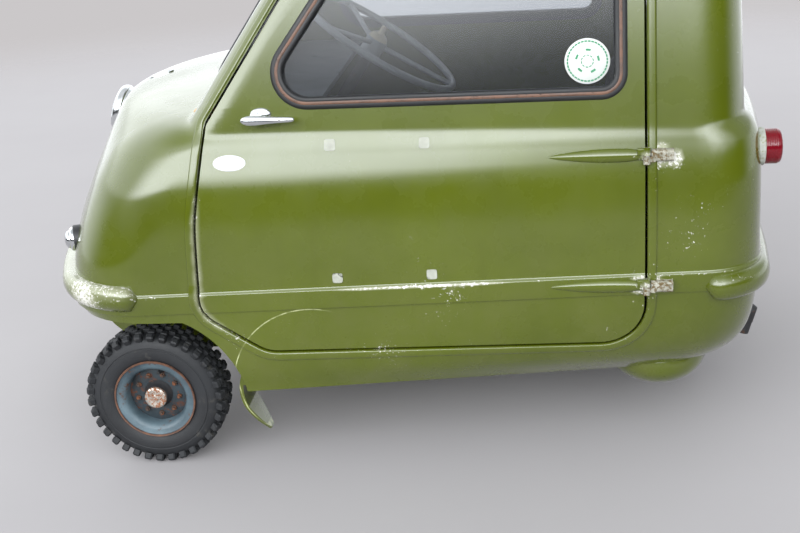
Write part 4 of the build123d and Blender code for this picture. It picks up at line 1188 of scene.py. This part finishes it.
class Markings(bpy.types.Operator):
    """Blank badge on the bonnet, blank oval and tape patches on the door, disc on its window"""
    bl_idname = "three_wheeler.markings"
    bl_label = "Badge and stickers"

    def execute(self, context):
        tree = BVHTree.FromObject(bpy.data.objects["body_moulding"], context.evaluated_depsgraph_get())
        bm = bmesh.new()
        shape = [(0, 4.4), (0.5, 4.2), (0.78, 3.6), (0.82, 2.4), (0.9, 3.2), (0.97, 2.6), (1, 1), (1, -3)]
        spun(bm, shape, 56)
        for v in bm.verts:
            v.co = drop_on(tree, v.co.x * BADGE_LONG + BADGE_X, v.co.y * BADGE_WIDE, v.co.z)
        close_ends(bm)
        piece("bonnet_badge", bm, "body", "chrome", ["nose_badge"])
        bm = bmesh.new()
        skin_patch(bm, 263.6, 585.0, 29.0, 13.5, 2.0)
        piece("blank_oval_sticker", bm, "door", "white_label")
        bm = bmesh.new()
        for x, z, w in ((87.8, 609.9, 9.5), (-73.9, 608.5, 9.0), (86.8, 378.8, 9.0), (-78.3, 381.9, 9.0)):
            skin_patch(bm, x, z, w, w, 7.0)
        piece("tape_patches", bm, "door", "grey_tape")
        wall, _, thick = WINDOWS["door"]
        glass = -thick / 2 + 4.2
        bm = bmesh.new()
        spun(bm, [(0, 0.5), (DISC_R, 0.5), (DISC_R + 0.5, 0)], 64, wall.w, wall.at(DISC_U, DISC_V, glass))
        piece("window_disc", bm, "door", "white_label")
        bm = bmesh.new()
        for r0, r1, count, share in ((31.5, 34.0, 36, 0.78), (9.0, 10.6, 10, 0.7), (17.0, 20.5, 5, 0.35)):
            for k in range(count):
                a0, span = math.tau * k / count, math.tau / count * share

                def place(i, j):
                    a, r = a0 + span * i / 3, r1 if j else r0
                    return wall.at(DISC_U + r * math.cos(a), DISC_V + r * math.sin(a), glass + 0.9)

                grid_surface(bm, 3, 1, place)
        outward(bm)
        piece("window_disc_rings", bm, "door", "green_mark")
        return {"FINISHED"}


# Tread blocks. Columns: radius, distance from the middle, size, lean in degrees, bevel, share of a step on.
TREAD = [(124.6, 33.4, (12, 13.8, 12.5), 30, 2.4, 0.0), (128.6, 21.0, (9, 12.8, 11), 9, 1.4, 0.0),
         (128.6, 7.5, (8.6, 13.0, 11.5), 4, 1.2, 0.5)]


def tyre_mesh(blocks):
    """Carcass with a stepped sidewall, centre blocks and bevelled shoulder lugs; the axle is Z."""
    bm = bmesh.new()
    half = [(70, 26), (73.5, 30.5), (76, 33.5), (80, 36), (87, 38.6), (95, 39.4), (100.5, 39), (101.3, 38),
            (103.2, 37.8), (104.2, 38.6), (110, 37.4), (117, 34), (122, 28), (125.2, 20), (126.6, 10),
            (127, 0)]
    ring = half + [(r, -h) for r, h in reversed(half[:-1])]
    spun(bm, ring, 96, (0, 0, 1), (0, 0, 0), True)
    steps = math.tau / blocks
    for k in range(blocks):
        for side in (1, -1):
            turn = Matrix.Rotation((k + 0.25 * side) * steps, 4, "Z")
            for radius, out, size, lean, bevel, on in TREAD:
                place_block(bm, turn @ Matrix.Rotation(on * steps, 4, "Z"), (radius, 0, side * out), size,
                            side * math.radians(lean), bevel)
    outward(bm)
    return bm


def place_block(bm, turn, at, size, lean, bevel):
    """One rubber block, its outer corners rounded."""
    matrix = turn @ Matrix.Translation(at) @ Matrix.Rotation(-lean, 4, "Y") @ Matrix.Diagonal((*size, 1))
    verts = bmesh.ops.create_cube(bm, size=1.0, matrix=matrix)["verts"]
    outer = [v for v in verts if (turn.inverted() @ v.co - Vector(at)).dot(
        Vector((math.cos(lean), 0, math.sin(lean)))) > 0]
    edges = {e for v in outer for e in v.link_edges if sum(w in outer for w in e.verts) == 2}
    sides = {e for v in outer for e in v.link_edges} - edges
    round_off(bm, sides | edges, bevel, 1)


Z_AXIS, MIDDLE = (0, 0, 1), (0, 0, 0)

# Pieces of a wheel about the Z axle, outer side up, after its tyre. Columns: name, finish, slot, node that it
# stands for, turned shapes.
WHEEL_SHAPES = [
    ("rim_bed", "rim_blue", "blue_wheel", "rim", [
        ([(57, 8), (57.5, 20), (59, 25.5), (62.5, 29.5), (68, 31.6), (73, 32.4), (75.4, 34.4), (76.6, 36.6),
          (75.8, 38.2), (74.2, 37.4), (73, 35), (70, 33.9), (66.5, 33.4), (61, 31.4), (57.4, 27.2),
          (55.6, 21), (55.2, 8)], 72, Z_AXIS, MIDDLE, True),
        ([(57, 6), (58, -24), (66, -30), (73, -32), (75.5, -35), (74, -37), (71, -34), (64, -32),
          (55.6, -26), (55, 6)], 64, Z_AXIS, MIDDLE, True)]),
    ("rim_edge", "rust_edge", "blue_wheel", None, [
        ([(73.4, 35.2), (75.6, 34.2), (77.6, 36.6), (76.6, 39.2), (74.2, 38.6)], 72, Z_AXIS, MIDDLE, True)]),
    ("rim_disc", "rim_dark", "blue_wheel", None, [
        ([(19, 9), (30, 10.5), (46, 9.5), (52, 8), (56.8, 7), (56.8, 3), (50, 4), (30, 5), (19, 4)], 64,
         Z_AXIS, MIDDLE, True)]),
    ("wheel_nuts", "rusty_steel", "blue_wheel", None, None),
    ("valve_stem", "black_rubber", "black_rubber", None, [
        ([(0, 24), (3, 23.5), (3.2, 14), (4.4, 12), (4.4, 2)], 14, (0.25, 0, 1), (-15, -49, 4))]),
    ("hub_barrel", "black_steel", "black_steel", "hub", [
        ([(8.2, -32), (19.5, -32), (21, -29), (21.5, -6), (27, 2), (28, 9), (25, 14), (22, 18), (21.4, 26),
          (20, 28), (8.2, 28)], 56, Z_AXIS, MIDDLE, True)]),
    ("hub_cap", "worn_chrome", "black_steel", None, [
        ([(20.6, 24), (21, 29), (20.4, 32), (18.6, 33.4), (16.5, 33.8), (12, 32.6), (6, 32.2),
          (0, 32.2)], 48),
        ([(0, 34), (5, 33.8), (6.2, 32.6), (6.4, 31)], 20)])]


def nuts_mesh(count=9, circle=40.0):
    """Nuts on their studs, round the wheel's disc."""
    bm = bmesh.new()
    for k in range(count):
        a = math.tau * (k + 0.3) / count
        x, y = circle * math.cos(a), circle * math.sin(a)
        nut = Matrix.Translation((x, y, 11.5)) @ Matrix.Rotation(a * 1.7, 4, "Z")
        bmesh.ops.create_cone(bm, cap_ends=True, segments=6, radius1=5.4, radius2=5.0, depth=5.0, matrix=nut)
        spun(bm, [(0, 9), (2.7, 8.6), (3.0, 7.4), (3.0, -2)], 12, at=(x, y, 9.0))
    outward(bm)
    return bm


def shapes_mesh(shapes):
    bm = bmesh.new()
    for shape in shapes:
        spun(bm, *shape)
    close_ends(bm)
    return bm


class Wheels(bpy.types.Operator):
    """Block-tread tyres on pressed rims, with hubs, nuts and valves"""
    bl_idname = "three_wheeler.wheels"
    bl_label = "Wheels"

    def execute(self, context):
        blocks = context.scene.three_wheeler.tread_blocks
        for label, x, y, sign in (("left", FRONT_X, FRONT_Y, 1), ("right", FRONT_X, -FRONT_Y, -1),
                                  ("rear", REAR_X, 0.0, 1)):
            lie = Matrix.Translation((x, y, WHEEL_R)) @ Matrix.Rotation(-sign * math.pi / 2, 4, "X")
            meshes = [("tyre_carcass", "tyre_rubber", "tyre_rubber", "tyre", tyre_mesh(blocks))]
            meshes += [(*row, shapes_mesh(shapes) if shapes else nuts_mesh())
                       for *row, shapes in WHEEL_SHAPES]
            for name, finish, slot, node, bm in meshes:
                bmesh.ops.transform(bm, matrix=lie, verts=bm.verts[:])
                nodes = [f"{label}_{node}"] if node else ()
                piece(f"{label}_{name}", bm, f"{label}_wheel", finish, nodes, 35.0)
        return {"FINISHED"}


PAD_SWELL, PAD_VOXEL = 0.012, 0.009          # metres
PAD_PRESSURE, PAD_FRAMES = 4.0, 20


def padded(name, limits, lean, at, node):
    """A cushion swollen from a block by cloth pressure."""
    x0, x1, y0, y1, z0, z1 = limits
    bm = bmesh.new()
    box_of(bm, x0 + 6, x1 - 6, y0 + 6, y1 - 6, z0 + 5, z1 - 7, 12.0, 3)
    turn = Matrix.Translation(at) @ Matrix.Rotation(lean, 4, "Y")
    bmesh.ops.transform(bm, matrix=turn, verts=bm.verts[:])
    obj = object_of(name, bm)
    even = obj.modifiers.new("even", "REMESH")
    even.mode, even.voxel_size = "VOXEL", PAD_VOXEL
    settled(obj)
    rest = [v.co.copy() for v in obj.data.vertices]
    cloth = obj.modifiers.new("pad", "CLOTH")
    cloth.settings.use_pressure = True
    cloth.settings.uniform_pressure_force = PAD_PRESSURE
    cloth.settings.effector_weights.gravity = 0.0
    cloth.point_cache.frame_start, cloth.point_cache.frame_end = 1, PAD_FRAMES
    for k in range(1, PAD_FRAMES + 1):
        bpy.context.scene.frame_set(k)
    settled(obj)
    bpy.context.scene.frame_set(1)
    for v, start in zip(obj.data.vertices, rest):
        move = v.co - start
        if move.length > PAD_SWELL:
            v.co = start + move.normalized() * PAD_SWELL
    soft = obj.modifiers.new("soft", "SUBSURF")
    soft.levels = soft.render_levels = 1
    finished(obj, "body", "black_vinyl", [node], 60.0)


BOSS_AT, COLUMN_RAKE = Vector((50, 0, 711)), math.radians(34.5)


class Cabin(bpy.types.Operator):
    """Seat cushions, the wooden strip on the shelf and the boss of the steering wheel"""
    bl_idname = "three_wheeler.cabin"
    bl_label = "Cabin"

    def execute(self, context):
        padded("seat_pad", (-430, -30, -190, 190, 302, 362), 0.0, (0, 0, 0), "seat_cushion")
        padded("back_pad", (-28, 28, -190, 190, 24, 310), math.radians(-8), (-408, 0, 340), "seat_back")
        bm = bmesh.new()
        box_of(bm, 228, 345, 330, 352, 644, 657, 2.5)
        piece("shelf_strip", bm, "body", "tan_wood", (), 40.0)
        axis, at = Vector((-math.sin(COLUMN_RAKE), 0, math.cos(COLUMN_RAKE))), BOSS_AT
        boss = [(0, 12), (13, 11), (18, 7), (20, 0), (20, -6), (17, -8), (0, -8)]
        knob = [(0, 30), (5, 29), (7, 24), (6, 18), (8, 12), (8, 8)]
        turned("steering_boss", [(boss, 40, axis, at), (knob, 20, axis, at)], "ivory_knob",
               body="steering_wheel", fill=True)
        return {"FINISHED"}


# Finishes of the CAD parts that stay as they are
KEPT = {
    "body_hinges": "bare_hinge", "wiper": "black_steel", "lifting_handle": "chrome",
    "tail_pipe": "black_steel", "mud_flaps": "green_paint", "front_axle": "black_steel",
    "front_springs": "black_steel", "left_knuckle": "rusty_steel", "right_knuckle": "rusty_steel",
    "rear_fork": "black_steel", "rear_springs": "black_steel", "dash_shelf": "grey_trim",
    "steering_wheel": "grey_wheel", "steering_column": "black_steel", "pedals": "black_steel",
    "seat_base": "dark_trim", "engine_block": "engine_alloy"}


class KeptParts(bpy.types.Operator):
    """Finishes for the CAD parts that show as they are"""
    bl_idname = "three_wheeler.kept_parts"
    bl_label = "Plain parts"

    def execute(self, context):
        for node, finish in KEPT.items():
            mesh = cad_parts[node].data
            mesh.materials.clear()
            mesh.materials.append(MATERIALS[finish])
        return {"FINISHED"}


BACKDROP = rgb("cbc8c9")
FLOOR_DARK, FLOOR_LIGHT = rgb("9c999a"), rgb("a29fa0")
FLOOR_HALF, FLOOR_FADE = 9000.0, (3.4, 5.6)       # millimetres; metres from the middle
CAMERA_AT, FOCAL, PICTURE, SENSOR = (-0.26794, 2.4916, 1.13738), 1250.0, 800.0, 36.0
PITCH, YAW, ROLL = math.radians(20.0), math.radians(6.9), math.radians(3.5)


def lay_floor():
    """Pale ground that fades into the backdrop some metres out."""
    bm = bmesh.new()
    bmesh.ops.create_grid(bm, x_segments=2, y_segments=2, size=FLOOR_HALF)
    floor = object_of("floor", bm)
    n, s, out = new_material("stage_floor")
    tone = use_group(n, "Tone", Scale=1.5, Low=FLOOR_DARK, High=FLOOR_LIGHT, Contrast=0.5)
    n.feed(tone.outputs["Colour"], s.inputs["Base Color"])
    s.inputs["Roughness"].default_value = 0.9
    s.inputs["Specular IOR Level"].default_value = 0.1
    distance = n.add("ShaderNodeVectorMath", {0: n.place()}, operation="LENGTH").outputs["Value"]
    clear = n.add("ShaderNodeBsdfTransparent")
    faded = n.add("ShaderNodeMixShader", {0: n.smooth(distance, *FLOOR_FADE), 1: s, 2: clear})
    n.feed(faded, out.inputs["Surface"])
    floor.data.materials.append(MATERIALS["stage_floor"])


def light_sky(scene):
    """An overcast sky that is brightest low on the door's side, over a dark horizon there."""
    world = scene.world = scene.world or bpy.data.worlds.new("studio")
    world.use_nodes = True
    world.node_tree.nodes.clear()
    w = Nodes(world.node_tree)
    to = w.add("ShaderNodeSeparateXYZ", {0: w.add("ShaderNodeTexCoord").outputs["Generated"]}).outputs
    low = w.smooth(to["Y"], -0.35, 0.3, 1.5, 0.06)
    lower = w.times(w.smooth(to["X"], -0.05, 0.12), w.smooth(to["X"], 0.2, 0.35, 0.02, 0.0))
    rise = w.smooth(w.plus(to["Z"], lower), 0.14, 0.27)
    door_side = w.times(w.smooth(to["Y"], 0.25, 0.7, 0.0, 7.5), w.smooth(to["Z"], 0.42, 0.6, 1.0, 0.15))
    sky = w.times(rise, w.plus(door_side, 2.4), w.smooth(to["X"], -0.75, -0.25, 0.3, 1.0))
    sky = w.plus(sky, w.times(w.minus(1.0, rise), low))
    sky = w.minus(sky, w.smooth(to["Z"], 0.6, 0.9, 0.0, 1.4))
    path = w.add("ShaderNodeLightPath").outputs
    seen = w.math("MAXIMUM", path["Is Camera Ray"], path["Is Transmission Ray"])
    strength = w.plus(w.times(sky, w.minus(1.0, seen)), seen)
    colour = w.mix(seen, (0.94, 0.97, 1.0, 1), BACKDROP)
    back = w.add("ShaderNodeBackground", {"Color": colour, "Strength": strength})
    w.add("ShaderNodeOutputWorld", {"Surface": back.outputs[0]})


def place_camera(scene):
    """The camera as fitted to the photo."""
    ahead = Vector((math.cos(PITCH) * math.sin(YAW), -math.cos(PITCH) * math.cos(YAW), -math.sin(PITCH)))
    level = Vector((-math.cos(YAW), -math.sin(YAW), 0))
    above = level.cross(ahead)
    right = level * math.cos(ROLL) - above * math.sin(ROLL)
    up = level * math.sin(ROLL) + above * math.cos(ROLL)
    lens = bpy.data.cameras.new("camera")
    lens.sensor_width, lens.lens = SENSOR, FOCAL / PICTURE * SENSOR
    camera = bpy.data.objects.new("camera", lens)
    turn = Matrix((right, up, -ahead)).transposed().to_4x4()
    camera.matrix_world = Matrix.Translation(CAMERA_AT) @ turn
    scene.collection.objects.link(camera)
    scene.camera = camera


class Stage(bpy.types.Operator):
    """Pale floor, soft light and the camera"""
    bl_idname = "three_wheeler.stage"
    bl_label = "Stage"

    def execute(self, context):
        lay_floor()
        light_sky(context.scene)
        place_camera(context.scene)
        context.scene.view_settings.view_transform = "Standard"
        return {"FINISHED"}


STEPS = [Stage, BodySkin, DoorSkin, DoorLip, Bumpers, Glazing, Lamps, DoorHandle, HingeLeaves, Markings,
         Cabin, Wheels, KeptParts]


class ThreeWheelerPanel(bpy.types.Panel):
    """Lists the steps in the sidebar"""
    bl_idname = "VIEW3D_PT_three_wheeler"
    bl_label = "Three wheeled car"
    bl_space_type = "VIEW_3D"
    bl_region_type = "UI"
    bl_category = "Three wheeled car"

    def draw(self, context):
        look = context.scene.three_wheeler
        for name in ("paint_dark", "paint_light", "tread_blocks", "wear_reach"):
            self.layout.prop(look, name)
        for step in STEPS:
            self.layout.operator(step.bl_idname)


CLASSES = [ThreeWheelerLook, *STEPS, ThreeWheelerPanel]


def register():
    for cls in CLASSES:
        bpy.utils.register_class(cls)
    bpy.types.Scene.three_wheeler = bpy.props.PointerProperty(type=ThreeWheelerLook)


def unregister():
    del bpy.types.Scene.three_wheeler
    for cls in reversed(CLASSES):
        bpy.utils.unregister_class(cls)


def main():
    register()
    build_materials()
    for step in STEPS:
        area, name = step.bl_idname.split(".")
        getattr(getattr(bpy.ops, area), name)()


if __name__ == "__main__":
    main()
